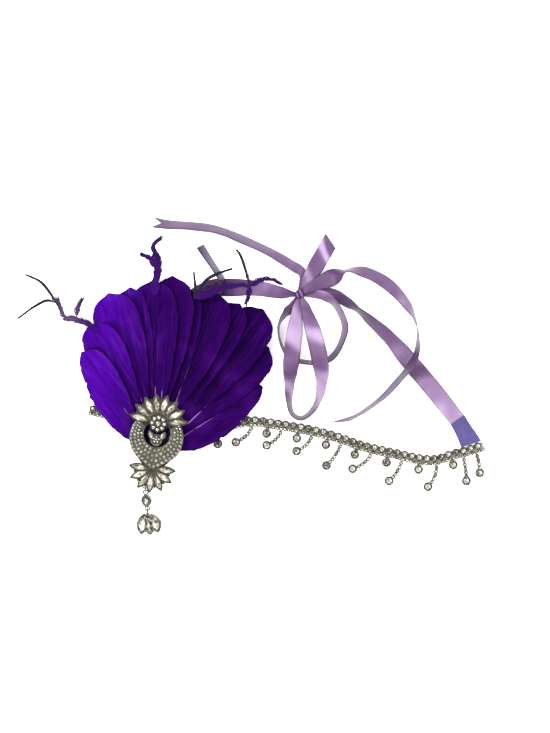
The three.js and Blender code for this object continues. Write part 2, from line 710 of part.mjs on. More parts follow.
function addBrooch() {
  const brooch = new THREE.Group();
  brooch.position.set(BROOCH_X, BROOCH_Y, BROOCH_BACK);
  brooch.rotation.z = radians(BROOCH_LEAN);
  root.add(brooch);
  const floor = PAD_HEIGHT + GAP - BROOCH_BACK;
  const post = disc(POST_RADIUS, -floor + BROOCH_PLATE / 2, 0, BROOCH_POST_Y, 10).translate(0, 0, floor);
  const frame = [
    plate(crescentShape(0, HORN_ANGLE), BROOCH_PLATE),
    disc(CREST_HUB_RADIUS, BROOCH_PLATE, 0, CREST_RISE),
    disc(LOWER_HUB_RADIUS, BROOCH_PLATE, 0, -LOWER_DROP),
    ...CREST_TURNS.map((turn) => arm(turn, CREST_RISE, CREST_TIP_RADIUS - 2)),
    ...LOWER_TURNS.map((turn) => arm(turn, -LOWER_DROP, LOWER_TIP_RADIUS - 2)),
    arm(EYE_TURN, -LOWER_DROP, EYE_RADIUS - RING_RADIUS),
    wireRing(0, RING_RADIUS, false).applyMatrix4(DROP_MATRIX),
    post,
  ];
  addPiece("brooch_frame", fused(frame), "silver", brooch);
  addStoneFan(brooch, "crest_stone", CREST_TURNS, CREST_RISE, CREST_TIP_RADIUS);
  addStoneFan(brooch, "lower_stone", LOWER_TURNS, -LOWER_DROP, LOWER_TIP_RADIUS);
  addPave(brooch);
  addFlowers(brooch);
  addDrop(brooch);
}

function addStoneFan(brooch, name, turns, hubY, tipRadius) {
  turns.forEach((turn, i) => {
    const stone = cutStone(MARQUISE_LENGTH, MARQUISE_WIDTH, MARQUISE_HEIGHT, true);
    stone.translate(tipRadius - MARQUISE_LENGTH / 2, 0, 0).rotateZ(radians(turn));
    addPiece(`${name}_${i + 1}`, stone.translate(0, hubY, BROOCH_PLATE + GAP), "stone", brooch);
  });
}

// Rows of pave stones: centre height and radius of each arc, and how far it reaches from straight down.
const PAVE_ROWS = [
  { y: 0, radius: CRESCENT_RADIUS - PAVE_STONE * 0.7, reach: 113 },
  { y: OPENING_RISE, radius: OPENING_RADIUS + PAVE_STONE * 0.7, reach: 98 },
];

function addPave(brooch) {
  const pieces = [plate(crescentShape(0.5, PAVE_HORN_ANGLE), PAVE_BED, 8)];
  for (const { y, radius, reach } of PAVE_ROWS) {
    const count = Math.max(1, Math.round((2 * radians(reach) * radius) / PAVE_PITCH));
    for (let i = 0; i <= count; i++) {
      const turn = radians(-90 - reach + (2 * reach * i) / count);
      const stone = smallStone(PAVE_STONE, PAVE_HEIGHT - PAVE_BED / 2);
      pieces.push(stone.translate(radius * Math.cos(turn), y + radius * Math.sin(turn), PAVE_BED / 2));
    }
  }
  const pave = fused(pieces).translate(0, 0, BROOCH_PLATE + GAP);
  addPiece("crescent_pave", pave, "stone", brooch);
}

function addFlowers(brooch) {
  const petalTurns = Array.from({ length: CLUSTER_STONES }, (_, i) => (2 * Math.PI * i) / CLUSTER_STONES);
  const { bed, bedRise, centreRise, petalRise, overlap } = CLUSTER_FLOWER;
  const ringRadius = CREST_HUB_RADIUS - CLUSTER_STONE * overlap;
  const cluster = [
    disc(CREST_HUB_RADIUS * bed, CLUSTER_HEIGHT * bedRise, 0, 0, 12),
    cutStone(CLUSTER_CENTRE_STONE, CLUSTER_CENTRE_STONE, CLUSTER_HEIGHT * centreRise),
    ...petalTurns.map((turn) =>
      cutStone(CLUSTER_STONE, CLUSTER_STONE, CLUSTER_HEIGHT * petalRise).translate(
        ringRadius * Math.cos(turn),
        ringRadius * Math.sin(turn),
        0,
      ),
    ),
  ];
  addPiece("flower_cluster", fused(cluster).translate(0, CREST_RISE, BROOCH_PLATE + GAP), "stone", brooch);
  const inner = INNER_FLOWER;
  const petal = (side) =>
    cutStone(
      MARQUISE_LENGTH * inner.petalLength,
      MARQUISE_WIDTH * inner.petalWidth,
      MARQUISE_HEIGHT * inner.petalRise,
      true,
    )
      .rotateZ(radians(90 - side * inner.lean))
      .translate(side * inner.aside, OPENING_RISE - inner.petalDrop, 0);
  const innerBed = disc(
    OPENING_RADIUS * inner.bed,
    CLUSTER_HEIGHT * inner.bedRise,
    0,
    OPENING_RISE - inner.bedDrop,
    10,
  );
  const middle = cutStone(CLUSTER_STONE, CLUSTER_STONE, CLUSTER_HEIGHT * inner.middleRise);
  middle.translate(0, OPENING_RISE - inner.middleDrop, 0);
  addPiece("inner_petals", fused([innerBed, petal(-1), petal(1), middle]), "stone", brooch);
}

function addDrop(brooch) {
  const drop = new THREE.Group();
  drop.applyMatrix4(DROP_MATRIX);
  brooch.add(drop);
  const eyeStep = RING_RADIUS + RING_WIRE + GAP / 2;
  addPiece("drop_link", wireRing(eyeStep, LINK_RADIUS, true), "silver", drop);
  const bodyStart = eyeStep * 2 + RING_RADIUS;
  const connector = cutStone(CONNECTOR_LENGTH, CONNECTOR_WIDTH, MARQUISE_HEIGHT, true);
  connector.translate(bodyStart + CONNECTOR_LENGTH / 2 - RING_WIRE, 0, -MARQUISE_HEIGHT * CONNECTOR_SINK);
  const lowerEye = bodyStart + CONNECTOR_LENGTH + RING_RADIUS - RING_WIRE * 2;
  addPiece(
    "drop_connector",
    fused([wireRing(eyeStep * 2, RING_RADIUS, false), connector, wireRing(lowerEye, RING_RADIUS, false)]),
    "silver",
    drop,
  );
  const bail = lowerEye + eyeStep;
  const bud = [wireRing(bail, LINK_RADIUS, true)];
  const budMiddle = bail + LINK_RADIUS + BUD_LENGTH / 2 - RING_WIRE;
  for (const { turn, aside, long, wide, deep } of BUD_PETALS) {
    const pear = cutStone(BUD_LENGTH * long, BUD_WIDTH * wide, BUD_DEPTH * deep, true);
    bud.push(pear.rotateZ(radians(turn)).translate(budMiddle, aside * BUD_WIDTH, -BUD_DEPTH / 2));
  }
  addPiece("drop_bud", fused(bud), "stone", drop);
}

// Chain

// Height of the chain's underside: on the pad's felt, and down to the surface past it.
function chainFloor(x) {
  const past = Math.max(0, Math.abs(x) - PAD_RADIUS - 1);
  return CHAIN_LIFT * (1 - smooth(Math.min(past / CHAIN_RAMP, 1)));
}

// Place on a chain's route: middle on the surface, direction along it and direction across it, off the drops.
function chainPlace(curve, share) {
  const centre = curve.getPointAt(share);
  const along = curve.getTangentAt(share).setZ(0).normalize();
  const across = new THREE.Vector3().crossVectors(Z_AXIS, along);
  centre.z = chainFloor(centre.x);
  return { centre, along, across };
}

function placed(geometry, { centre, along }) {
  return geometry.rotateZ(Math.atan2(along.y, along.x)).translate(centre.x, centre.y, centre.z);
}

function chainCurve(route) {
  return new THREE.CatmullRomCurve3(
    route.map(([x, y]) => new THREE.Vector3(x, y, 0)),
    false,
    "centripetal",
  );
}

// Strip of even width and height along the chain, set off to one side.
function chainStrip(curve, width, offset, low, high) {
  const steps = Math.round(curve.getLength() / CHAIN_STEP);
  const rings = [];
  for (let i = 0; i <= steps; i++) {
    const { centre, across } = chainPlace(curve, i / steps);
    const corner = (side, z) =>
      centre.clone().addScaledVector(across, offset + (side * width) / 2).setZ(centre.z + z);
    rings.push([corner(-1, low), corner(1, low), corner(1, high), corner(-1, high)]);
  }
  return loft(rings);
}

// Stone and neck of a short drop, hanging from the chain's lower edge.
function shortDrop(place, reach) {
  const out = (CHAIN_WIDTH / 2) * reach + SHORT_DROP_STONE / 2;
  const stone = cutStone(SHORT_DROP_STONE, SHORT_DROP_STONE, DROP_STONE_HEIGHT).translate(0, -out, 0);
  const neck = new THREE.BoxGeometry(DROP_NECK, out, CHAIN_BASE);
  neck.translate(0, -out / 2 - DROP_NECK / 2, CHAIN_BASE / 2);
  return [placed(stone, place), placed(neck, place)];
}

function addChain(name, route, drops) {
  const curve = chainCurve(route);
  const upper = (CHAIN_WIDTH - CHAIN_STONE) / 2;
  const pieces = [
    chainStrip(curve, CHAIN_WIDTH, 0, 0, CHAIN_BASE),
    chainStrip(curve, RAIL_WIDTH, -(CHAIN_WIDTH - RAIL_WIDTH) / 2, CHAIN_BASE / 2, RAIL_HEIGHT),
  ];
  const length = curve.getLength();
  const count = Math.floor((length - CHAIN_STONE) / CHAIN_PITCH);
  const margin = (length - count * CHAIN_PITCH) / 2;
  for (let i = 0; i <= count; i++) {
    const place = chainPlace(curve, (margin + i * CHAIN_PITCH) / length);
    const stone = cutStone(CHAIN_STONE, CHAIN_STONE, CHAIN_HEIGHT - CHAIN_BASE / 2);
    pieces.push(placed(stone.translate(0, upper, CHAIN_BASE / 2), place));
  }
  for (const { at, reach } of drops) pieces.push(...shortDrop(chainPlace(curve, at), reach));
  addPiece(name, fused(pieces), "stone");
}

function addLongDrops() {
  const curve = chainCurve(CHAIN_RIGHT_ROUTE);
  LONG_DROPS.forEach(({ at, out, aside }, i) => {
    const { centre, along, across } = chainPlace(curve, at);
    const start = centre.clone().addScaledVector(across, -CHAIN_WIDTH / 2 - GAP);
    const spot = (share, bend) =>
      start
        .clone()
        .addScaledVector(across, -out * LONG_DROP_REACH * share)
        .addScaledVector(along, aside * LONG_DROP_REACH * bend);
    const path = new THREE.QuadraticBezierCurve3(spot(0, 0), spot(0.62, 0.18), spot(1, 1));
    const rings = [];
    for (let k = 0; k <= LONG_DROP_STONES; k++) {
      const [point, ahead] = [path.getPoint(k / LONG_DROP_STONES), path.getTangent(k / LONG_DROP_STONES)];
      const side = k ? new THREE.Vector3().crossVectors(Z_AXIS, ahead) : along;
      const corner = (share, z) => point.clone().addScaledVector(side, share * LONG_DROP_WIDTH).setZ(z);
      rings.push([corner(-0.5, 0), corner(0.5, 0), corner(0.5, CHAIN_BASE), corner(-0.5, CHAIN_BASE)]);
    }
    const pieces = [loft(rings)];
    for (let k = 0; k < LONG_DROP_STONES; k++) {
      const point = path.getPoint((k + 0.5) / LONG_DROP_STONES);
      const stone = smallStone(LONG_DROP_STONE, RAIL_HEIGHT - CHAIN_BASE / 2);
      pieces.push(stone.translate(point.x, point.y, CHAIN_BASE / 2));
    }
    const end = path.getPoint(1);
    pieces.push(cutStone(LONG_DROP_END, LONG_DROP_END, DROP_STONE_HEIGHT).translate(end.x, end.y, 0));
    addPiece(`long_drop_${i + 1}`, fused(pieces), "stone");
  });
}

// Ribbon

// Distance from the knot's middle at which a ribbon's end meets its side.
const KNOT_REACH = KNOT_SIZE / 2 + GAP * 1.4;

function knotExit(turn) {
  return new THREE.Vector3(
    KNOT_X + KNOT_REACH * Math.cos(radians(turn)),
    KNOT_Y + KNOT_REACH * Math.sin(radians(turn)),
    0,
  );
}

// Ribbon along rows of its table: at each station the section turns by its lean and stands on its lower edge.
function ribbon({ startX = KNOT_X, startY = KNOT_Y, runX, runY, rows, leave, enter, notch = 0, point = 0 }) {
  const points = rows.map((row) => new THREE.Vector3(startX + row.x * runX, startY + row.y * runY, 0));
  if (leave !== undefined) points[0] = knotExit(leave);
  if (enter !== undefined) points[points.length - 1] = knotExit(enter);
  const route = new THREE.CatmullRomCurve3(points, false, "centripetal");
  const spans = rows.length - 1;
  const [top, bottom] = [[], []];
  const sides = notch ? [-1, 0, 1] : [-1, 1];
  const station = (place) => {
    const centre = route.getPoint(place / spans);
    const along = route.getTangent(place / spans);
    const level = new THREE.Vector3().crossVectors(along, Z_AXIS).normalize();
    const lean = radians(eased(rows, "lean", place));
    const width = eased(rows, "span", place) * RIBBON_WIDTH;
    const across = level.clone().multiplyScalar(Math.cos(lean)).addScaledVector(Z_AXIS, Math.sin(lean));
    const out = level.clone().multiplyScalar(-Math.sin(lean)).addScaledVector(Z_AXIS, Math.cos(lean));
    const halfTall = (width * Math.abs(Math.sin(lean)) + RIBBON_WALL * Math.abs(Math.cos(lean))) / 2;
    centre.z = eased(rows, "rise", place) * RIBBON_WIDTH + halfTall;
    const isEnd = place === spans;
    const endCut = (side) => notch * (1 - Math.abs(side)) + (point * (1 + side)) / 2;
    const cut = (side) => (isEnd ? endCut(side) * RIBBON_WIDTH : 0);
    const spot = (side, face) =>
      centre
        .clone()
        .addScaledVector(across, (side * width) / 2)
        .addScaledVector(along, -cut(side))
        .addScaledVector(out, (face * RIBBON_WALL) / 2);
    top.push(sides.map((side) => spot(side, 1)));
    bottom.push(sides.map((side) => spot(side, -1)));
  };
  for (let row = 0; row < spans; row++) {
    const stretch = route.getPoint(row / spans).distanceTo(route.getPoint((row + 1) / spans));
    const steps = Math.max(1, Math.round(stretch / RIBBON_STEP));
    for (let i = 0; i < steps; i++) station(row + i / steps);
  }
  station(spans);
  return sheetBody(top, bottom);
}

// Loop pressed flat: one ribbon out from the knot, round a low bend and back over itself.
function foldedLoop() {
  const rise = LOOP_UP_OPEN;
  const profile = [
    { out: 0, up: 0, span: 0.3 },
    { out: 0.22, up: 0, span: 0.8 },
    { out: 0.6, up: 0, span: 1 },
    { out: 0.93, up: 0, span: 1 },
    { out: 0.99, up: 0.2, span: 1 },
    { out: 1, up: 0.5, span: 1 },
    { out: 0.99, up: 0.8, span: 1 },
    { out: 0.93, up: 1, span: 1 },
    { out: 0.76, up: 0.95, span: 1 },
    { out: 0.5, up: 0.4, span: 1 },
    { out: 0.22, up: 0.37, span: 0.8 },
    { out: 0, up: 0.37, span: 0.3 },
  ];
  const points = profile.map(
    (row) => new THREE.Vector3(KNOT_REACH + row.out * LOOP_UP_LENGTH, 0, LOOP_UP_BASE + row.up * rise),
  );
  const [top, bottom] = [[], []];
  points.forEach((point, i) => {
    const before = points[Math.max(i - 1, 0)];
    const after = points[Math.min(i + 1, points.length - 1)];
    const along = after.clone().sub(before).normalize();
    const out = new THREE.Vector3(-along.z, 0, along.x);
    const half = (profile[i].span * LOOP_UP_WIDTH) / 2;
    const slant = LOOP_UP_SLANT * profile[i].out ** 3;
    const spot = (side, face) =>
      point
        .clone()
        .add(new THREE.Vector3(side * half * slant, side * half, RIBBON_WALL / 2))
        .addScaledVector(out, (face * RIBBON_WALL) / 2);
    top.push([-1, 1].map((side) => spot(side, 1)));
    bottom.push([-1, 1].map((side) => spot(side, -1)));
  });
  return sheetBody(top, bottom).rotateZ(radians(LOOP_UP_TURN)).translate(KNOT_X, KNOT_Y, 0);
}

// Knot: upright sides that the ribbons meet, and a rounded top.
function knotBody() {
  const levels = [
    { up: 0, size: 0.86 },
    { up: 0.06, size: 1 },
    { up: 0.84, size: 1 },
    { up: 1, size: 0.7 },
  ];
  const half = KNOT_SIZE / 2;
  const ring = ({ up, size }) => outline(KNOT_CORNERS, half * size, half * size, up * KNOT_HEIGHT);
  return loft(levels.map(ring)).translate(KNOT_X, KNOT_Y, 0);
}

function addTies() {
  const chain = chainCurve(CHAIN_RIGHT_ROUTE);
  const chainEnd = chainPlace(chain, TAB_AT);
  const foot = chainEnd.centre.clone().addScaledVector(chainEnd.across, CHAIN_WIDTH / 2 + GAP * 1.5);
  const tabWay = new THREE.Vector3(-Math.sin(radians(TAB_LEAN)), Math.cos(radians(TAB_LEAN)), 0);
  const headAcross = new THREE.Vector3(Math.cos(radians(TAB_HEAD_TURN)), Math.sin(radians(TAB_HEAD_TURN)), 0);
  const head = foot.clone().addScaledVector(tabWay, TAB_LENGTH);
  const tabEdge = (middle, way, width) =>
    [-0.5, 0.5].map((side) => middle.clone().addScaledVector(way, side * width).setZ(0));
  const lower = [tabEdge(foot, chainEnd.along, TAB_FOOT_WIDTH), tabEdge(head, headAcross, TAB_HEAD_WIDTH)];
  const upper = lower.map((edge) => edge.map((point) => point.clone().setZ(TAB_WALL)));
  addPiece("tab_right", sheetBody(upper, lower), "felt");
  const tabHead = head.clone().addScaledVector(tabWay, GAP * 3);
  const [leftX, leftY] = CHAIN_LEFT_ROUTE[0];
  const tieTo = (x, y) => ({ runX: x - KNOT_X, runY: y - KNOT_Y });
  addPiece("tie_right", ribbon({ ...TIE_RIGHT, ...tieTo(tabHead.x, tabHead.y) }), "satin");
  addPiece("tie_left", ribbon({ ...TIE_LEFT, ...tieTo(leftX, leftY + CHAIN_WIDTH / 2 + GAP) }), "satin");
  addPiece("tail_long", ribbon(TAIL_LONG), "satin");
  addPiece("tail_curl", ribbon(TAIL_CURL), "satin");
  addPiece("tail_short", ribbon(TAIL_SHORT), "satin");
  addPiece("loop_ring", ribbon(LOOP_RING), "satin");
  addPiece("loop_down", ribbon(LOOP_DOWN), "satin");
  addPiece("loop_up", foldedLoop(), "satin");
  addPiece("bow_knot", knotBody(), "satin");
}

addPiece("backing_pad", disc(PAD_RADIUS, PAD_HEIGHT, 0, 0, 32), "felt");
addFeathers();
addWisp("wisp_left", WISP_LEFT);
addWisp("wisp_top", WISP_TOP);
addWisp("wisp_right", WISP_RIGHT);
addBrooch();
addChain("chain_left", CHAIN_LEFT_ROUTE, []);
addChain("chain_right", CHAIN_RIGHT_ROUTE, SHORT_DROPS);
addLongDrops();
addTies();

export default root;
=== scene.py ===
"""Looks of a 1920s style feather headband: feather fan, brooch, rhinestone chain and satin ribbon ties."""

import json
import logging
import math
import random
from dataclasses import dataclass, field
from enum import Enum
from typing import Iterable, Sequence

import bpy
from mathutils import Matrix, Vector

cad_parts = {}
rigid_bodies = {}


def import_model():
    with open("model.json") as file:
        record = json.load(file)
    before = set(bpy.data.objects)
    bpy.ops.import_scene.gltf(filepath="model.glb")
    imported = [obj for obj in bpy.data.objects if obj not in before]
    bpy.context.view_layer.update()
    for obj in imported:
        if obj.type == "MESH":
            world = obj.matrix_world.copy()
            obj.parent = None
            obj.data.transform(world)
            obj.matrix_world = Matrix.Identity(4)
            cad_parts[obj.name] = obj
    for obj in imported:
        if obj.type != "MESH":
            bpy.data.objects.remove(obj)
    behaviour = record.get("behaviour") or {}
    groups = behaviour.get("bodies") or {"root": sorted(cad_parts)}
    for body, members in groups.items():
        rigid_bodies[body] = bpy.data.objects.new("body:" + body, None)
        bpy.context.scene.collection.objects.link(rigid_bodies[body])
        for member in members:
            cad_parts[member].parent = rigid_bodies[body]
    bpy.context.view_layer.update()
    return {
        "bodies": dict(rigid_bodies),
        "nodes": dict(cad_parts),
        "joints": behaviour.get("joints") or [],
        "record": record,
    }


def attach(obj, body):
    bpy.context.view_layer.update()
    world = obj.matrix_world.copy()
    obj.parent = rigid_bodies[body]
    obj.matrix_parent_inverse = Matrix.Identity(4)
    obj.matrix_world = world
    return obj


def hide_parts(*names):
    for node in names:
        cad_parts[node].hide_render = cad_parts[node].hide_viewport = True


MM = 0.001
LOG = logging.getLogger("headband")
# Share of a stone's height at which its girdle ends and its crown grows lighter with a painted highlight.
GIRDLE = 0.4
# One seeded source for the painted glints on the facets of all the stones and for their highlights, drawn
# from in the order of building.
SPARKLE = random.Random(8)
Row = dict[str, float]


class Num:
    """A shader value that builds Math nodes when it is used in an expression."""

    def __init__(self, shader: "Shader", socket: bpy.types.NodeSocket) -> None:
        """Keep the shader and the output socket that carries the value."""
        self.shader = shader
        self.socket = socket

    def __add__(self, other: object) -> "Num":
        """Return self + other."""
        return self.shader.maths("ADD", self, other)

    def __sub__(self, other: object) -> "Num":
        """Return self - other."""
        return self.shader.maths("SUBTRACT", self, other)

    def __rsub__(self, other: object) -> "Num":
        """Return other - self."""
        return self.shader.maths("SUBTRACT", other, self)

    def __mul__(self, other: object) -> "Num":
        """Return self * other."""
        return self.shader.maths("MULTIPLY", self, other)

    def __pow__(self, other: object) -> "Num":
        """Return self ** other."""
        return self.shader.maths("POWER", self, other)

    __radd__ = __add__
    __rmul__ = __mul__


class Shader:
    """A node material with one Principled BSDF, built through a few short methods."""

    def __init__(self, name: str) -> None:
        """Make an empty material.

        Args:
            name: Name of the material.
        """
        self.material = bpy.data.materials.new(name)
        self.material.use_nodes = True
        self.tree = self.material.node_tree
        self.surface = self.tree.nodes["Principled BSDF"]

    def node(self, kind: str, settings: dict | None = None, **values: object) -> bpy.types.Node:
        """Add one node.

        Args:
            kind: Node type without its ShaderNode prefix.
            settings: Properties that are set before the sockets.
            **values: Socket values or links, by socket name with _ for a blank.

        Returns:
            The new node.
        """
        made = self.tree.nodes.new("ShaderNode" + kind)
        for key, value in (settings or {}).items():
            setattr(made, key, value)
        for key, value in values.items():
            self.put(made.inputs[key.replace("_", " ")], value)
        return made

    def put(self, socket: bpy.types.NodeSocket, value: object) -> None:
        """Link or set one input socket."""
        if isinstance(value, Num):
            self.tree.links.new(value.socket, socket)
        elif isinstance(value, bpy.types.NodeSocket):
            self.tree.links.new(value, socket)
        else:
            socket.default_value = value

    def maths(self, operation: str, first: object, second: object = 0.0, clamp: bool = False) -> Num:
        """Return the result of a Math node on two values."""
        made = self.node("Math", {"operation": operation, "use_clamp": clamp})
        self.put(made.inputs[0], first)
        self.put(made.inputs[1], second)
        return Num(self, made.outputs[0])

    def clamp(self, value: object) -> Num:
        """Return the value held between 0 and 1."""
        return self.maths("ADD", value, 0.0, clamp=True)

    def place(self) -> tuple[Num, Num, Num]:
        """Return the object coordinates in metres."""
        point = self.node("TexCoord").outputs["Object"]
        parts = self.node("SeparateXYZ", None, Vector=point)
        return tuple(Num(self, parts.outputs[axis]) for axis in "XYZ")

    def sheet_place(self) -> tuple[Num, Num]:
        """Return the piece's own UV, which holds millimetres across and along it."""
        parts = self.node("SeparateXYZ", None, Vector=self.node("TexCoord").outputs["UV"])
        return Num(self, parts.outputs["X"]), Num(self, parts.outputs["Y"])

    def tone(self) -> Num:
        """Return the piece's own tone: 0 in its shaded parts, 0.5 plain, 1 where it is lit."""
        return Num(self, self.node("Attribute", {"attribute_name": "tone"}).outputs["Fac"])

    def vector(self, x: object, y: object, z: object = 0.0) -> bpy.types.NodeSocket:
        """Return a vector of three values."""
        made = self.node("CombineXYZ")
        for socket, value in zip(made.inputs, (x, y, z)):
            self.put(socket, value)
        return made.outputs[0]

    def noise(self, where: object, scale: float, detail: float = 2.0, rough: float = 0.5) -> Num:
        """Return a noise value about 0.5 at a place."""
        made = self.node("TexNoise", None, Vector=where, Scale=scale, Detail=detail, Roughness=rough)
        return Num(self, made.outputs[0])

    def ramp(self, value: object, low: float, high: float) -> Num:
        """Return 0 below low and 1 above high, eased between them."""
        made = self.node("MapRange", {"interpolation_type": "SMOOTHSTEP"}, Value=value)
        self.put(made.inputs["From Min"], low)
        self.put(made.inputs["From Max"], high)
        return Num(self, made.outputs[0])

    def mix(self, share: object, first: object, second: object) -> bpy.types.NodeSocket:
        """Return a colour between two colours."""
        made = self.node("Mix", {"data_type": "RGBA"})
        self.put(made.inputs["Factor"], share)
        for socket, value in ((made.inputs[6], first), (made.inputs[7], second)):
            self.put(socket, (*value, 1.0) if isinstance(value, tuple) else value)
        return made.outputs[2]

    def finish(self, bump: object = None, height: float = 0.0, **values: object) -> bpy.types.Material:
        """Set the surface's sockets and its bump.

        Args:
            bump: Height value of the relief, or None.
            height: Full height of the relief in metres.
            **values: Principled socket values or links.

        Returns:
            The finished material.
        """
        for key, value in values.items():
            value = (*value, 1.0) if isinstance(value, tuple) and len(value) == 3 else value
            self.put(self.surface.inputs[key.replace("_", " ")], value)
        if bump is not None:
            relief = self.node("Bump", None, Height=bump, Strength=1.0, Distance=height)
            self.put(self.surface.inputs["Normal"], relief.outputs[0])
        return self.material


@dataclass(frozen=True)
class FeatherFinish:
    """Dyed goose feather, violet on the lit left of the fan to deep purple on its right, which is painted
    shade; painted highlights and shadows lie over it.
    """

    # left and right: the feather in the light and in painted shade; light and glow: its painted highlight on
    # the left and on the right; dark: its painted shade and shadow.
    left: tuple = (0.040, 0.0003, 0.188)
    right: tuple = (0.0135, 0.0, 0.051)
    light: tuple = (0.088, 0.011, 0.27)
    glow: tuple = (0.046, 0.003, 0.13)
    dark: tuple = (0.003, 0.0, 0.012)

    def make(self) -> bpy.types.Material:
        """Return the vane material, whose barbs follow the vane's own UV."""
        s = Shader("feather_vane")
        across, along = s.sheet_place()
        x, y, _ = s.place()
        away = s.maths("ABSOLUTE", across)
        barb = along - away * 2.2
        streaks = s.noise(s.vector(across * 0.5, along * 0.035, x * 20.0), 1.0, 3.0, 0.6)
        fine = s.noise(s.vector(barb * 1.6, across * 0.35), 0.9, 3.0)
        bands = s.noise(s.vector(along * 0.045, across * 0.07, x * 9.0), 1.0, 2.0)
        tone = s.tone()
        # Painted shade: the fan grows darker from its lit left to its right, and so do its painted
        # highlights.
        body = s.mix(s.ramp(x - y * 0.12 + bands * 0.02, -0.038, 0.004), self.left, self.right)
        glow = s.mix(s.ramp(x - y * 0.12, -0.035, 0.01), self.light, self.glow)
        # Painted highlights: noise streaks and bands, the lit places of the tone and the fine barbs.
        lit = s.ramp(streaks, 0.5, 0.8) * 0.4 + s.ramp(bands, 0.5, 0.75) * 0.32 + s.ramp(tone, 0.5, 1.0) * 0.6
        lit = lit + s.ramp(fine, 0.55, 0.8) * 0.12
        # Painted shade in the streaks and bands, then the painted shadow of the feather above, from the tone.
        shade = s.ramp(streaks, 0.5, 0.2) * 0.4 + s.ramp(bands, 0.5, 0.25) * 0.3
        shaded = s.mix(s.ramp(tone, 0.5, 0.05) * 0.9, s.mix(s.clamp(shade), body, self.dark), self.dark)
        relief = streaks * 0.5 + fine * 0.4 + s.maths("SINE", barb * 7.0) * 0.05
        return s.finish(
            relief,
            0.0009,
            Base_Color=s.mix(s.clamp(lit), shaded, glow),
            Roughness=s.clamp(0.55 + fine * 0.3),
            Specular_IOR_Level=0.015,
        )


@dataclass(frozen=True)
class QuillFinish:
    """Feather shaft: violet, with bare pinkish stretches where the dye has worn off."""

    dyed: tuple = (0.020, 0.0, 0.080)
    bare: tuple = (0.20, 0.10, 0.27)

    def make(self) -> bpy.types.Material:
        """Return the shaft material, whose bare stretches are longest in its lower half."""
        s = Shader("feather_quill")
        share, _ = s.sheet_place()
        x, y, z = s.place()
        worn = s.noise(s.vector(x, y, z), 75.0, 2.0)
        low = s.ramp(share, 0.62, 0.28)
        return s.finish(
            worn,
            0.0002,
            Base_Color=s.mix(s.ramp(worn, 0.5, 0.62) * low, self.dyed, self.bare),
            Roughness=s.clamp(0.6 + worn * 0.2),
            Specular_IOR_Level=0.05,
        )


@dataclass(frozen=True)
class PlumeFinish:
    """Stripped plume: grey-black at the tips of the wisps, purple where the barbs are thick."""

    stem: tuple = (0.012, 0.009, 0.018)
    barb: tuple = (0.022, 0.0006, 0.075)
    ash: tuple = (0.075, 0.040, 0.100)

    def make(self) -> bpy.types.Material:
        """Return the wisp material. Its UV holds the share along a barb in X and its softness in Y."""
        s = Shader("plume_barb")
        share, soft = s.sheet_place()
        x, y, z = s.place()
        patch = s.noise(s.vector(x, y, z), 260.0, 3.0)
        fluff = s.mix(s.ramp(x + patch * 0.012, -0.038, -0.055), self.barb, self.ash)
        near = s.ramp(soft * (1.3 - share * 0.75) + (patch - 0.5) * 0.5, 0.35, 0.85)
        tone = s.mix(near, self.stem, fluff)
        return s.finish(
            patch,
            0.0004,
            Base_Color=s.mix(s.ramp(share, 0.55, 1.0) * 0.55, tone, self.stem),
            Roughness=s.clamp(0.6 + patch * 0.3),
            Specular_IOR_Level=0.05,
        )


@dataclass(frozen=True)
class SatinFinish:
    """Satin ribbon with a fine warp grain along it and firmer selvedges, and painted highlight and shade from
    its tone and soft noise patches.
    """

    name: str = "satin_lilac"
    body: tuple = (0.083, 0.039, 0.105)
    light: tuple = (0.30, 0.215, 0.345)
    dark: tuple = (0.028, 0.012, 0.040)
    gloss: float = 0.18

    def make(self, half_width: float = 6.0) -> bpy.types.Material:
        """Return the satin. Its UV holds millimetres across and along the ribbon."""
        s = Shader(self.name)
        across, along = s.sheet_place()
        warp = s.noise(s.vector(across * 5.0, along * 0.07), 1.6, 3.0, 0.6)
        pools = s.noise(s.vector(across * 0.05, along * 0.06), 1.0, 1.0)
        weft = s.maths("SINE", along * 14.0)
        edge = s.ramp(s.maths("ABSOLUTE", across), half_width * 0.86, half_width * 0.97)
        # Painted light: the tone's bands and soft noise patches move the satin between its dark, body and
        # light colours.
        level = s.tone() + (pools - 0.5) * 0.35 + across * (pools - 0.5) * 0.1
        tone = s.mix(s.ramp(level, 0.0, 0.55), self.dark, self.body)
        tone = s.mix(s.ramp(level, 0.45, 1.05), tone, self.light)
        tone = s.mix(s.ramp(warp, 0.45, 0.75) * 0.12, tone, self.light)
        return s.finish(
            warp * 0.5 + weft * 0.06 + edge * 0.4,
            0.00012,
            Base_Color=s.mix(edge * 0.3, tone, self.dark),
            Roughness=s.clamp(0.3 + warp * 0.16 + edge * 0.15),
            Specular_IOR_Level=self.gloss,
            Anisotropic=0.4,
            Sheen_Weight=0.01,
            Sheen_Roughness=0.3,
            Sheen_Tint=(0.95, 0.85, 1.0, 1.0),
        )


@dataclass(frozen=True)
class FeltFinish:
    """Pressed wool felt with short fuzz."""

    name: str
    body: tuple
    light: tuple

    def make(self) -> bpy.types.Material:
        """Return the felt material."""
        s = Shader(self.name)
        x, y, z = s.place()
        where = s.vector(x, y, z)
        fuzz = s.noise(where, 2600.0, 4.0, 0.7)
        patch = s.noise(where, 210.0, 3.0)
        hair = s.noise(s.vector(x * 3.0 + y, y * 0.5 - x, z), 1500.0, 3.0)
        share = s.ramp(fuzz, 0.35, 0.7) * 0.5 + s.ramp(patch, 0.35, 0.7) * 0.4
        return s.finish(
            fuzz * 0.6 + hair * 0.4,
            0.0004,
            Base_Color=s.mix(s.clamp(share), self.body, self.light),
            Roughness=s.clamp(0.82 + fuzz * 0.15),
            Specular_IOR_Level=0.15,
            Sheen_Weight=0.3,
        )


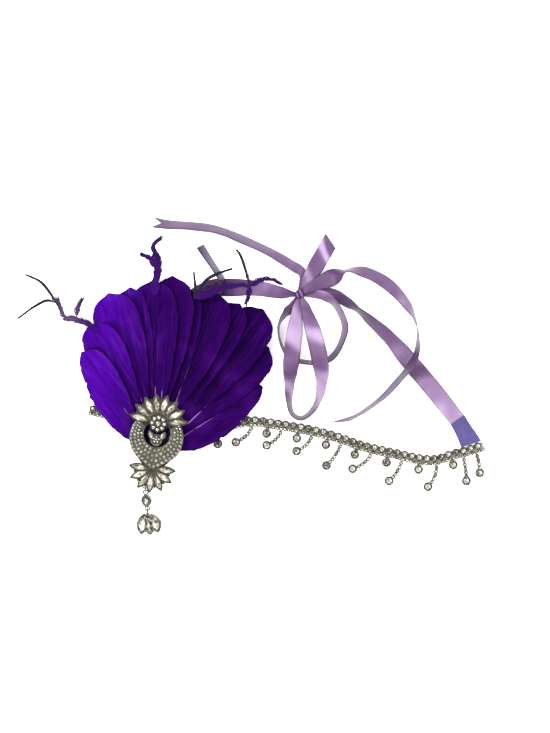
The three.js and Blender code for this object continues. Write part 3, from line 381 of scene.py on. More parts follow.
@dataclass(frozen=True)
class MetalFinish:
    """Aged silver plate: bright, and brown-black in patches where it has tarnished."""

    name: str
    bright: tuple
    tarnish: tuple
    rough: float = 0.22

    def make(self) -> bpy.types.Material:
        """Return the metal material."""
        s = Shader(self.name)
        x, y, z = s.place()
        where = s.vector(x, y, z)
        stain = s.noise(where, 420.0, 4.0, 0.65)
        grain = s.noise(where, 2400.0, 2.0)
        dull = s.ramp(stain, 0.42, 0.66)
        return s.finish(
            grain,
            0.00006,
            Base_Color=s.mix(dull * 0.75, self.bright, self.tarnish),
            Roughness=s.clamp(self.rough + dull * 0.22 + grain * 0.08),
            Metallic=1.0,
        )


@dataclass(frozen=True)
class StoneFinish:
    """Foiled rhinestone: mirror facets under clear glass, ivory with faint cold and warm parts, in painted
    shade at its foot and with painted highlights and glints above.
    """

    name: str
    body: tuple
    deep: tuple
    flash: tuple
    metallic: float

    def make(self) -> bpy.types.Material:
        """Return the stone material."""
        s = Shader(self.name)
        x, y, z = s.place()
        where = s.vector(x, y, z)
        fire = s.noise(where, 520.0, 2.0, 0.6)
        cloud = s.noise(where, 1100.0, 1.0)
        # Painted light: the tone and a noise take the stone from painted shade through its body to a painted
        # flash.
        level = s.tone() + (fire - 0.5) * 1.1
        tint = s.mix(s.ramp(level, 0.12, 0.62), self.deep, self.body)
        return s.finish(
            None,
            0.0,
            Base_Color=s.mix(s.ramp(level, 0.7, 1.0), tint, self.flash),
            Roughness=s.clamp(0.08 + cloud * 0.14),
            Metallic=self.metallic,
            Specular_IOR_Level=0.6,
            Coat_Weight=0.25,
            Coat_Roughness=0.05,
        )


class Look(Enum):
    """The finishes that the pieces wear."""

    FEATHER = "feather"
    QUILL = "quill"
    PLUME = "plume"
    SATIN = "satin"
    # Satin drawn darker for the ribbons that lie in shade: painted shade.
    VEILED = "satin_in_shade"
    KNOTTED = "knotted"
    PAD = "pad"
    TAB = "tab"
    SILVER = "silver"
    CUP = "cup"
    # Near-black metal: painted shade on the brooch frame in the gaps under the stones.
    PLATE = "plate"
    CRYSTAL = "crystal"
    MARQUISE = "marquise"


def make_wardrobe() -> dict[Look, bpy.types.Material]:
    """Return one material for each look."""
    return {
        Look.FEATHER: FeatherFinish().make(),
        Look.QUILL: QuillFinish().make(),
        Look.PLUME: PlumeFinish().make(),
        Look.SATIN: SatinFinish().make(),
        # The same satin in darker colours: painted shade for the left tie and the short tail.
        Look.VEILED: SatinFinish(
            "satin_painted_shade", (0.055, 0.020, 0.078), (0.21, 0.13, 0.26), (0.013, 0.002, 0.032)
        ).make(),
        Look.KNOTTED: SatinFinish("satin_knotted", gloss=0.0).make(),
        Look.PAD: FeltFinish("pad_felt", (0.02, 0.003, 0.07), (0.05, 0.012, 0.14)).make(),
        Look.TAB: FeltFinish("tab_felt", (0.046, 0.034, 0.125), (0.078, 0.062, 0.185)).make(),
        Look.SILVER: MetalFinish("aged_silver", (0.50, 0.48, 0.41), (0.11, 0.10, 0.075)).make(),
        Look.CUP: MetalFinish("cup_metal", (0.10, 0.095, 0.075), (0.020, 0.018, 0.013), 0.32).make(),
        # The brooch frame's metal is drawn near black, as painted shade under the stones.
        Look.PLATE: MetalFinish("plate_metal_painted_shade", (0.035, 0.033, 0.026), (0.008, 0.007, 0.005), 0.4).make(),
        Look.CRYSTAL: StoneFinish(
            "rhinestone", (0.21, 0.205, 0.165), (0.022, 0.021, 0.015), (0.44, 0.43, 0.36), 0.5
        ).make(),
        Look.MARQUISE: StoneFinish(
            "ivory_crystal", (0.22, 0.205, 0.165), (0.026, 0.023, 0.016), (0.56, 0.53, 0.45), 0.35
        ).make(),
    }


class MeshBuild:
    """Points, faces, looks and UV of one piece while it is being made."""

    def __init__(self, name: str, looks: Sequence[Look]) -> None:
        """Start an empty piece.

        Args:
            name: Name of the object.
            looks: Its material slots in order.
        """
        self.name = name
        self.looks = list(looks)
        self.points: list[Vector] = []
        self.faces: list[tuple[int, ...]] = []
        self.slots: list[int] = []
        self.marks: list[tuple[float, float]] = []
        self.tones: list[float] = []
        self.facet_glint: list[float] = []

    def point(self, place: Vector, mark: tuple[float, float] = (0.0, 0.0), tone: float = 0.5) -> int:
        """Add a point and return its number."""
        self.points.append(place)
        self.marks.append(mark)
        self.tones.append(tone)
        return len(self.points) - 1

    def face(self, corners: Iterable[int], slot: int = 0, facet_glint: float = 0.0) -> None:
        """Add one face, lighter or darker than its points by a painted glint."""
        self.faces.append(tuple(corners))
        self.slots.append(slot)
        self.facet_glint.append(facet_glint)

    def grid(self, rows: list[list[int]], slot: int = 0, flip: bool = False) -> None:
        """Add the faces between rows of points."""
        for lower, upper in zip(rows, rows[1:]):
            for k in range(len(lower) - 1):
                corners = (lower[k], lower[k + 1], upper[k + 1], upper[k])
                self.face(reversed(corners) if flip else corners, slot)

    def skin(self, rings: list[list[int]], slot: int = 0) -> None:
        """Add the faces of a tube between closed rings, and its two caps."""
        self.grid(rings, slot, flip=True)
        self.face(rings[0][:-1], slot)
        self.face(reversed(rings[-1][:-1]), slot)

    def tube(
        self, centres: Sequence[Vector], sizes: Sequence[float], soft: float = 0.0, corners: int = 6
    ) -> None:
        """Add a closed round tube through centres."""
        rings = []
        last = len(centres) - 1
        for k, centre in enumerate(centres):
            ahead = (centres[min(k + 1, last)] - centres[max(k - 1, 0)]).normalized()
            side = ahead.cross(Vector((0, 0, 1)))
            side = side.normalized() if side.length > 1e-6 else Vector((1, 0, 0))
            up = side.cross(ahead)
            ring = []
            for c in range(corners):
                turn = 2 * math.pi * c / corners
                spot = centre + (side * math.cos(turn) + up * math.sin(turn)) * sizes[k]
                ring.append(self.point(spot, (k / max(last, 1), soft)))
            rings.append(ring + ring[:1])
        self.skin(rings)

    def stamp(
        self,
        pattern: "Pattern",
        matrix: Matrix,
        slot: int = 0,
        low: float = 0.5,
        high: float = 0.5,
        fire: float = 0.38,
    ) -> None:
        """Copy a finished pattern to a place.

        Args:
            pattern: The shape, one across and one high.
            matrix: Its place, turn and scale.
            slot: Number of its material slot.
            low: Its tone at its foot; a low tone is painted shade.
            high: Its tone at its top; a high tone is a painted highlight.
            fire: How much the painted glints of its facets differ.
        """
        start = len(self.points)
        for p in pattern.points:
            share = max(0.0, min(1.0, (p.z - GIRDLE) / (1 - GIRDLE)))
            self.point(matrix @ p, (0.0, 0.0), low + (high - low) * share)
        for corners in pattern.faces:
            self.face((start + c for c in corners), slot, SPARKLE.uniform(-fire, fire))

    def finish(self, wardrobe: dict[Look, bpy.types.Material], smooth: float = 40.0) -> bpy.types.Object:
        """Make the object.

        Args:
            wardrobe: Material of each look.
            smooth: Angle in degrees under which edges are shaded smooth.

        Returns:
            The object, which rides on the root body.
        """
        mesh = bpy.data.meshes.new(self.name)
        mesh.from_pydata([tuple(p * MM) for p in self.points], [], self.faces)
        for look in self.looks:
            mesh.materials.append(wardrobe[look])
        mesh.polygons.foreach_set("material_index", self.slots)
        layer = mesh.uv_layers.new(name="UVMap")
        for loop in mesh.loops:
            layer.data[loop.index].uv = self.marks[loop.vertex_index]
        tones = [self.tones[c] + extra for corners, extra in zip(self.faces, self.facet_glint) for c in corners]
        mesh.attributes.new("tone", "FLOAT", "CORNER").data.foreach_set("value", tones)
        mesh.validate()
        made = bpy.data.objects.new(self.name, mesh)
        bpy.context.collection.objects.link(made)
        shade(made, smooth)
        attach(made, "root")
        return made

    def stand_in(self, node: str, wardrobe: dict, smooth: float) -> bpy.types.Object:
        """Make the object in place of a solid.

        Args:
            node: Name of the solid.
            wardrobe: Material of each look.
            smooth: Angle in degrees under which edges are shaded smooth.

        Returns:
            The object.
        """
        made = self.finish(wardrobe, smooth)
        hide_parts(node)
        return made


def clear_selection() -> None:
    """Deselect every object."""
    bpy.ops.object.select_all(action="DESELECT")


def shade(made: bpy.types.Object, angle: float) -> None:
    """Shade an object smooth under an angle in degrees, and flat above it."""
    clear_selection()
    bpy.context.view_layer.objects.active = made
    made.select_set(True)
    bpy.ops.object.shade_smooth_by_angle(angle=math.radians(angle))
    made.select_set(False)


def thicken(made: bpy.types.Object, wall: float) -> None:
    """Give a sheet its wall in millimetres, half of it to each side."""
    modifier = made.modifiers.new("wall", "SOLIDIFY")
    modifier.thickness = wall * MM
    modifier.offset = 0.0
    apply_modifiers(made)


def apply_modifiers(made: bpy.types.Object) -> None:
    """Apply every modifier of an object."""
    clear_selection()
    bpy.context.view_layer.objects.active = made
    made.select_set(True)
    for modifier in list(made.modifiers):
        bpy.ops.object.modifier_apply(modifier=modifier.name)
    made.select_set(False)


def dress(made: bpy.types.Object, material: bpy.types.Material, node: str) -> None:
    """Give a piece that grew from a primitive its material and its place in the model."""
    made.data.materials.clear()
    made.data.materials.append(material)
    shade(made, 60)
    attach(made, "root")
    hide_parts(node)


@dataclass
class Pattern:
    """A small shape that is modelled once and copied: its points in millimetres and its faces."""

    points: list[Vector]
    faces: list[tuple[int, ...]]


class StoneCut(Enum):
    """Outline of a stone."""

    ROUND = "round"
    MARQUISE = "marquise"


@dataclass
class StoneShop:
    """Cuts stones and their cups once, of unit size, by hand tools."""

    corners: int = 12
    pointed: float = 0.75
    stone_foot: float = 0.5
    facets: tuple = ((1.0, 0.42), (0.84, 0.28), (0.74, 0.22), (0.34, 0.08))
    cup_foot: float = 0.46
    walls: tuple = ((1.16, 0.3), (1.06, 0.22), (0.98, 0.08), (0.9, 0.0), (0.92, -0.1))

    def _grow(self, foot: float, rings: tuple, cut: StoneCut) -> Pattern:
        """Extrude a disc by rings of scale and rise, and give the shape its outline.

        Args:
            foot: Radius of the disc.
            rings: Scale and rise of each ring, from the disc to the top.
            cut: Its outline.

        Returns:
            The pattern.
        """
        clear_selection()
        bpy.ops.mesh.primitive_circle_add(vertices=self.corners, radius=foot, fill_type="NGON")
        made = bpy.context.object
        bpy.ops.object.mode_set(mode="EDIT")
        bpy.ops.mesh.select_all(action="SELECT")
        for scale, rise in rings:
            bpy.ops.mesh.extrude_region_move(TRANSFORM_OT_translate={"value": (0, 0, rise)})
            bpy.ops.transform.resize(value=(scale, scale, 1), center_override=(0, 0, 0))
        bpy.ops.mesh.select_all(action="SELECT")
        bpy.ops.mesh.normals_make_consistent(inside=False)
        bpy.ops.object.mode_set(mode="OBJECT")
        pattern = self._take(made)
        if cut is StoneCut.MARQUISE:
            for p in pattern.points:
                reach = math.hypot(p.x, p.y)
                if reach > 1e-6:
                    p.y *= (abs(p.y) / reach) ** self.pointed
        return pattern

    def _take(self, made: bpy.types.Object) -> Pattern:
        """Turn an object into a pattern and remove it."""
        points = [v.co.copy() for v in made.data.vertices]
        faces = [tuple(face.vertices) for face in made.data.polygons]
        bpy.data.objects.remove(made)
        return Pattern(points, faces)

    def stone(self, cut: StoneCut) -> Pattern:
        """Return a stone one across and one high, with girdle, crown facets and table.

        Args:
            cut: Its outline. A round stone's crown is turned by half a facet.

        Returns:
            The pattern.
        """
        pattern = self._grow(self.stone_foot, self.facets, cut)
        if cut is StoneCut.ROUND:
            for p in pattern.points[2 * self.corners : 3 * self.corners]:
                p.rotate(Matrix.Rotation(math.pi / self.corners, 3, "Z"))
        return pattern

    def cup(self, cut: StoneCut) -> Pattern:
        """Return the cup that holds such a stone: foot, wall, rolled rim and floor."""
        return self._grow(self.cup_foot, self.walls, cut)

    def bead(self) -> Pattern:
        """Return a small grain that clamps a stone."""
        clear_selection()
        bpy.ops.mesh.primitive_ico_sphere_add(subdivisions=1, radius=0.5)
        return self._take(bpy.context.object)


def lie(x: float, y: float, z: float, size: Sequence[float], turn: float = 0.0) -> Matrix:
    """Return the matrix of a shape that lies flat at a place.

    Args:
        x: Place along X in millimetres.
        y: Place along Y in millimetres.
        z: Height of its foot in millimetres.
        size: Its scale along its own three axes.
        turn: Turn about Z in degrees.

    Returns:
        The matrix.
    """
    return (
        Matrix.Translation((x, y, z))
        @ Matrix.Rotation(math.radians(turn), 4, "Z")
        @ Matrix.Diagonal((*size, 1.0))
    )


def bearing(way: Vector) -> float:
    """Return the turn in degrees of a direction seen from above."""
    return math.degrees(math.atan2(way.y, way.x))


def around(radius: float, turn: float) -> tuple[float, float]:
    """Return X and Y at a radius and a turn in degrees."""
    return radius * math.cos(math.radians(turn)), radius * math.sin(math.radians(turn))


class Route:
    """Centripetal curve through points, the same as the chain's and the ribbons' in the solids."""

    def __init__(self, points: Sequence[Vector]) -> None:
        """Keep the points that the curve goes through."""
        self.points = [Vector(p) for p in points]
        self._table: list[tuple[float, float]] = []

    def at(self, share: float) -> Vector:
        """Return the point at a share of the parameter."""
        p = self.points
        spans = len(p) - 1
        k = min(int(share * spans), spans - 1)
        t = share * spans - k
        a = p[k - 1] if k else p[0] * 2 - p[1]
        d = p[k + 2] if k + 2 <= spans else p[-1] * 2 - p[-2]
        b, c = p[k], p[k + 1]
        gaps = [max((second - first).length, 1e-4) ** 0.5 for first, second in ((a, b), (b, c), (c, d))]
        g0, g1, g2 = gaps
        m1 = ((b - a) / g0 - (c - a) / (g0 + g1) + (c - b) / g1) * g1
        m2 = ((c - b) / g1 - (d - b) / (g1 + g2) + (d - c) / g2) * g1
        return b + m1 * t + (b * -3 + c * 3 - m1 * 2 - m2) * t * t + (b * 2 - c * 2 + m1 + m2) * t**3

    def ahead(self, share: float) -> Vector:
        """Return the direction at a share of the parameter."""
        step = 1e-4
        return (self.at(min(share + step, 1.0)) - self.at(max(share - step, 0.0))).normalized()

    def _fill(self) -> None:
        """Work out the table of lengths."""
        if self._table:
            return
        total, before = 0.0, self.at(0.0)
        self._table.append((0.0, 0.0))
        for k in range(1, 1201):
            here = self.at(k / 1200)
            total += (here - before).length
            before = here
            self._table.append((total, k / 1200))

    def length(self) -> float:
        """Return the length of the curve."""
        self._fill()
        return self._table[-1][0]

    def share_at(self, distance: float) -> float:
        """Return the parameter share at a distance along the curve."""
        self._fill()
        for (low, s0), (high, s1) in zip(self._table, self._table[1:]):
            if high >= distance:
                return s0 + (s1 - s0) * (distance - low) / max(high - low, 1e-9)
        return 1.0


def eased(rows: Sequence[Row], column: str, place: float) -> float:
    """Return one column of a table between its rows, easing from row to row."""
    row = min(int(place), len(rows) - 2)
    t = place - row
    t = t * t * (3 - 2 * t)
    return rows[row][column] * (1 - t) + rows[row + 1][column] * t


@dataclass
class Fan:
    """The feather fan: every vane is a thin curled sheet with a quill, split barbs and a free edge with a
    painted highlight.

    A feather is its turn in degrees, its length, the widths of its left and right side, and whether each side
    is full near the quill. The vane's table gives the share of its length and the width of a plain and a full
    side.
    """

    root_y: float = -18.4
    reach: float = 120.0
    root_height: float = 6.6
    crest_height: float = 9.7
    tip_height: float = 5.8
    step: float = 1.35
    half_width: float = 17.0
    quill_start: float = 6.5
    rows: int = 92
    columns: int = 9
    curl: float = 0.5
    wall: float = 0.22
    tip_fall: float = 0.12
    shaft: float = 0.93
    seed: int = 11
    front_seed: int = 40
    # One per feather from the left: how far its tone is drawn towards the painted highlight or the painted
    # shade.
    painted_light_shifts: tuple = (0.05, 0.0, 0.02, 0.05, 0.1, 0.12, -0.14, -0.04, -0.08, -0.12, 0.0, 0.06)
    feathers: list = field(
        default_factory=lambda: [
            (-37, 0.71, 0.9, 0.72, True, False),
            (-28.5, 0.815, 0.66, 0.94, False, False),
            (-17, 0.94, 0.98, 0.95, False, False),
            (-9.3, 0.945, 0.95, 0.6, False, False),
            (-1.7, 0.97, 0.92, 1, False, False),
            (4.9, 1, 0.8, 0.98, False, False),
            (9.9, 0.95, 0.8, 0.86, False, False),
            (20.2, 0.965, 0.9, 1, False, False),
            (29.1, 0.96, 0.95, 0.7, False, False),
            (36.5, 1.005, 0.95, 1.05, False, False),
            (46.5, 0.865, 0.95, 0.84, False, False),
            (58, 0.7, 0.95, 0.9, False, True),
        ]
    )
    front: tuple = (4.6, 0.86, 0.42, 0.42, False, False)
    front_level: float = 4.0
    vane: list = field(
        default_factory=lambda: [
            (0, 0.07, 0.07),
            (0.1, 0.1, 0.52),
            (0.2, 0.2, 0.8),
            (0.34, 0.44, 0.97),
            (0.5, 0.74, 1),
            (0.66, 0.94, 0.88),
            (0.8, 1, 0.66),
            (0.9, 0.9, 0.5),
            (0.955, 0.74, 0.36),
            (0.985, 0.52, 0.26),
            (1, 0.18, 0.12),
        ]
    )

    def height(self, radius: float) -> float:
        """Return the height of the fan's middle sheet at a distance from its root."""
        t = min(radius / self.reach, 1.0)
        return (1 - t) ** 2 * self.root_height + 2 * t * (1 - t) * self.crest_height + t * t * self.tip_height

    def number(self, turn: float) -> float:
        """Return the number of the feather that lies at a turn in degrees."""
        turns = [f[0] for f in self.feathers]
        if turn <= turns[0]:
            return 1 - 0.5 * math.tanh((turns[0] - turn) / 20)
        if turn >= turns[-1]:
            return len(turns) + 0.5 * math.tanh((turn - turns[-1]) / 20)
        after = next(k for k, t in enumerate(turns) if t > turn)
        return after + (turn - turns[after - 1]) / (turns[after] - turns[after - 1])

    def point(self, x: float, y: float, level: float) -> Vector:
        """Return a point of the sheet at a level of the fan."""
        turn = math.degrees(math.atan2(x, y - self.root_y))
        z = self.height(math.hypot(x, y - self.root_y)) + self.step * (self.number(turn) - level)
        return Vector((x, y, z))

    def width(self, along: float, full: bool) -> float:
        """Return a side's share of the half width, between the rows of its table."""
        column = 2 if full else 1
        for low, high in zip(self.vane, self.vane[1:]):
            if high[0] >= along:
                return low[column] + (high[column] - low[column]) * (along - low[0]) / (high[0] - low[0])
        return self.vane[-1][column]

    def axes(self, shape: tuple) -> tuple[float, float, float]:
        """Return the sine and cosine of a feather's turn, and its length past the quill's start."""
        turn = math.radians(shape[0])
        return math.sin(turn), math.cos(turn), shape[1] * self.reach - self.quill_start

    def free_edge(self, shape: tuple) -> list[tuple[float, float]]:
        """Return radius and turn of points along a feather's right edge, seen from the fan's root."""
        sin, cos, reach = self.axes(shape)
        edge = []
        for k in range(60):
            along = k / 59
            aside = shape[3] * self.width(along, shape[5]) * self.half_width
            out = self.quill_start + along * reach - along**8 * self.half_width * self.tip_fall
            x, y = out * sin + aside * cos, out * cos - aside * sin
            edge.append((math.hypot(x, y), math.atan2(x, y)))
        return edge

    def shadow(self, edge: list[tuple[float, float]], spot: Vector) -> float:
        """Return how deep a point lies in the soft shadow of the feather over it, from 0 to 1."""
        radius = math.hypot(spot.x, spot.y - self.root_y)
        turn = math.atan2(spot.x, spot.y - self.root_y)
        near = min(edge, key=lambda e: abs(e[0] - radius))
        past = max(0.0, radius - max(e[0] for e in edge))
        gap = math.hypot((turn - near[1]) * radius, past)
        soft = 2.6 + 5.0 * min(radius / 90, 1.0)
        return math.exp(-gap / soft) if turn > near[1] or past else 1.0

    def build_vane(
        self, name: str, shape: tuple, level: float, seed: int, over: tuple | None, wardrobe: dict
    ) -> None:
        """Make one feather in place of its solid.

        Args:
            name: Name of the solid that it stands for.
            shape: Its row of the table.
            level: Its level in the fan.
            seed: Seed of its splits and waves.
            over: Row of the feather whose edge casts a shadow on it, or None.
            wardrobe: Material of each look.
        """
        chance = random.Random(seed)
        _, _, left, right, full_left, full_right = shape
        sin, cos, reach = self.axes(shape)
        build = MeshBuild(f"{name}_vane", [Look.FEATHER])
        edge_over = self.free_edge(over) if over else None
        # The feather's painted light shift: the whole vane drawn lighter or darker.
        dye = self.painted_light_shifts[int(level) - 1]
        sides = [k / self.columns for k in range(-self.columns, self.columns + 1)]
        waves = [(chance.uniform(0.06, 0.2), chance.uniform(0, 6.3)) for _ in range(3)]
        jag = {-1: 0.0, 1: 0.0}
        split = {-1: 0, 1: 0}
        grid = []
        for r in range(self.rows + 1):
            along = 1 - (1 - r / self.rows) ** 1.25
            line = []
            for edge in (-1, 1):
                jag[edge] = jag[edge] * 0.55 + chance.uniform(-0.022, 0.012)
                if split[edge] > 0:
                    split[edge] -= 1
                elif chance.random() < 0.03 and along > 0.25:
                    split[edge] = 2
            for side in sides:
                edge, half, full = (-1, left, full_left) if side < 0 else (1, right, full_right)
                share = half * self.width(along, full)
                rag = 1 + jag[edge] * abs(side) ** 3 - (0.07 if split[edge] else 0.0) * abs(side) ** 4
                aside = side * share * rag * self.half_width
                fall = side**2 * along**8 * self.half_width * self.tip_fall
                out = self.quill_start + along * reach - fall
                spot = self.point(out * sin + aside * cos, self.root_y + out * cos - aside * sin, level)
                room = min(along * 2.2, 1.0)
                ripple = sum(a * math.sin(along * reach * 0.1 + abs(aside) * 0.5 * f + f) for a, f in waves)
                lift = 0.12 + 0.3 * (1 - abs(side)) ** 2 * room + ripple * room * 0.5
                if side > 0:
                    lift += self.curl * side**3 * room * (1 if share > 0.3 else share * 3.3)
                spot.z += lift - 0.2 * room
                # Painted light in the tone: a highlight along the free right edge and the painted shadow of
                # the feather above.
                lit = max(0.0, (side - 0.6) / 0.4) * room
                dark = self.shadow(edge_over, spot) if edge_over else 0.0
                tone = 0.5 + dye - 0.4 * dark * (1 - lit) + 0.12 * lit
                line.append(build.point(spot, (aside, out), tone))
            grid.append(line)
        build.grid(grid)
        thicken(build.stand_in(name, wardrobe, 180), self.wall)
        self.build_quill(name, shape, level, wardrobe)

    def build_quill(self, name: str, shape: tuple, level: float, wardrobe: dict) -> None:
        """Make a feather's shaft."""
        sin, cos, reach = self.axes(shape)
        build = MeshBuild(f"{name}_quill", [Look.QUILL])
        centres, sizes = [], []
        for k in range(19):
            along = k / 18 * self.shaft
            out = self.quill_start + along * reach
            spot = self.point(out * sin, self.root_y + out * cos, level)
            spot.z += 0.2 + 0.3 * min(along * 2.2, 1.0)
            centres.append(spot)
            sizes.append(0.42 * (1 - along) + 0.1)
        build.tube(centres, sizes)
        build.finish(wardrobe, 60)

    def build(self, wardrobe: dict) -> None:
        """Make all the feathers."""
        for k, shape in enumerate(self.feathers):
            over = self.feathers[k - 1] if k else None
            self.build_vane(f"feather_{k + 1}", shape, k + 1, self.seed + k, over, wardrobe)
        self.build_vane("feather_front", self.front, self.front_level, self.front_seed, None, wardrobe)


@dataclass
class Wisps:
    """Stripped plumes at the fan's rim: stems that fork, with barbs hugging them.

    A wisp is the turn, radius and level of its root in the fan, its bare share and its blade's width, then
    its strands. A strand is its places, as shares of reach and tall, and its fluff, from 0 for bare to 1 for
    thick.
    """

    fan: Fan
    reach: float = 50.0
    tall: float = 10.0
    stem: float = 0.62
    steps: int = 22
    blade_steps: int = 26
    seed: int = 5
    wisps: dict = field(
        default_factory=lambda: {
            "wisp_left": (
                (-22.8, 79, 1, 0.24, 0.9),
                [
                    (
                        [
                            (0, 0, 0), (-0.3, 0.27, 0), (-0.48, 0.34, -0.05),
                            (-0.62, 0.37, -0.1), (-0.7, 0.5, -0.2), (-0.74, 0.62, -0.3),
                        ],
                        1.0,
                    ),
                    (
                        [
                            (-0.7, 0.47, -0.18), (-0.86, 0.73, -0.3), (-0.98, 0.86, -0.4),
                            (-1.17, 0.95, -0.5),
                        ],
                        0.42,
                    ),
                    (
                        [
                            (-0.72, 0.56, -0.25), (-0.88, 0.6, -0.35), (-1.04, 0.53, -0.42),
                            (-1.28, 0.36, -0.5),
                        ],
                        0.36,
                    ),
                    ([(-0.48, 0.34, -0.05), (-0.46, 0.5, 0.05), (-0.4, 0.62, 0.1)], 0.8),
                ],
            ),
            "wisp_top": (
                (-1.2, 106.4, 4, -0.22, 1.6),
                [
                    (
                        [
                            (0, 0, 0), (0.03, 0.22, 0.05), (0.05, 0.4, 0.2), (-0.06, 0.5, 0.3),
                            (-0.19, 0.56, 0.3),
                        ],
                        1.0,
                    ),
                    ([(0.03, 0.22, 0.05), (0.06, 0.46, 0.1), (0, 0.66, 0.1), (0.12, 0.8, 0)], 0.95),
                    ([(0.05, 0.36, 0.15), (-0.02, 0.44, 0.2), (0.0, 0.6, 0.1)], 0.6),
                ],
            ),
            "wisp_right": (
                (13.4, 107, 5, 0.0, 0.6),
                [
                    (
                        [
                            (0, 0, 0), (0.18, 0.06, 0.3), (0.4, 0.14, 0.4), (0.6, 0.18, 0.3),
                            (0.76, 0.17, 0.2),
                        ],
                        1.0,
                    ),
                    ([(0.76, 0.17, 0.2), (0.7, 0.38, 0.1), (0.62, 0.6, 0), (0.57, 0.66, 0)], 0.35),
                    ([(0.76, 0.17, 0.2), (0.9, 0.25, 0), (1.05, 0.26, -0.2), (1.2, 0.19, -0.4)], 0.75),
                    ([(0.76, 0.17, 0.2), (0.74, 0.04, 0.1), (0.7, -0.08, 0)], 0.8),
                    ([(0, 0, 0), (0.02, 0.12, 0.1), (0, 0.36, 0.2)], 0.4),
                    ([(0, 0, 0), (0.16, 0.24, 0.35), (0.34, 0.34, 0.4), (0.52, 0.4, 0.3)], 0.15),
                ],
            ),
        }
    )

    def build(self, wardrobe: dict) -> None:
        """Make the three wisps in place of their solids."""
        chance = random.Random(self.seed)
        for name, ((turn, radius, level, bare, blade), strands) in self.wisps.items():
            x = radius * math.sin(math.radians(turn))
            y = self.fan.root_y + radius * math.cos(math.radians(turn))
            start = self.fan.point(x, y, level)
            build = MeshBuild(f"{name}_plume", [Look.PLUME])
            for places, fluff in strands:
                route = Route([
                    start + Vector((a * self.reach, b * self.reach, c * self.tall)) for a, b, c in places
                ])
                shares = [k / self.steps for k in range(self.steps + 1)]
                bold = self.stem * (2.0 - fluff)
                sizes = [bold * (0.3 + 0.7 * math.sin(math.pi * min(share, 0.8))) for share in shares]
                build.tube([route.at(share) for share in shares], sizes, fluff)
                if fluff > 0.5:
                    self.add_blade(build, route, fluff * blade, bare, chance)
                self.add_barbs(build, route, fluff, bare, chance)
            build.stand_in(name, wardrobe, 60)

    def add_blade(
        self, build: MeshBuild, route: Route, fluff: float, bare: float, chance: random.Random
    ) -> None:
        """Lay a flat, ragged, tapering blade of matted barbs along a strand, past its bare start."""
        rows = []
        for k in range(self.blade_steps + 1):
            t = k / self.blade_steps
            base, ahead = route.at(t), route.ahead(t)
            side = ahead.cross(Vector((0, 0, 1))).normalized()
            row = []
            for place in (-1.0, -0.4, 0.4, 1.0):
                half = fluff * (0.35 + 1.75 * (1 - t) ** 1.3) * (1 + chance.uniform(-0.35, 0.3) * abs(place))
                half *= max(0.1, min(1.0, 0.25 + (t - bare) * 5)) * math.sqrt(min(1.0, 0.12 + t * 9))
                spot = base + side * (place * half) + Vector((0, 0, 0.35 - 0.3 * abs(place)))
                spot.z = max(spot.z, 0.12)
                row.append(build.point(spot, (t, 1.0)))
            rows.append(row)
        build.grid(rows)

    def add_barbs(
        self, build: MeshBuild, route: Route, fluff: float, bare: float, chance: random.Random
    ) -> None:
        """Lay curved barbs along a strand.

        Args:
            build: The wisp that is being made.
            route: The strand's line.
            fluff: From 0, nearly bare, to 1, thick and long.
            bare: Share of the strand's start that is nearly bare.
            chance: Source of the scatter.
        """
        count = int(route.length() * (2.0 + 16.0 * fluff))
        for _ in range(count):
            share = max(bare / 2, 0.0) + chance.random() ** 1.1 * 0.9
            base, ahead = route.at(share), route.ahead(share)
            side = ahead.cross(Vector((0, 0, 1))).normalized() * chance.choice((-1, 1))
            long = (1.2 + 5.8 * fluff * chance.uniform(0.35, 1.0)) * (1 - 0.55 * share)
            lean = chance.uniform(0.18, 0.62)
            rise = chance.uniform(-0.12, 0.16)
            wide = 0.14 + 0.2 * fluff
            rows = []
            for k in range(4):
                t = k / 3
                spot = base + ahead * (long * t) + side * (long * lean * t * (1.35 - 0.5 * t))
                spot.z = max(spot.z + rise * long * t, 0.15)
                off = Vector((-ahead.y, ahead.x, 0)).normalized() * wide * (1 - 0.8 * t)
                rows.append([build.point(spot - off, (t, fluff)), build.point(spot + off, (t, fluff))])
            build.grid(rows)


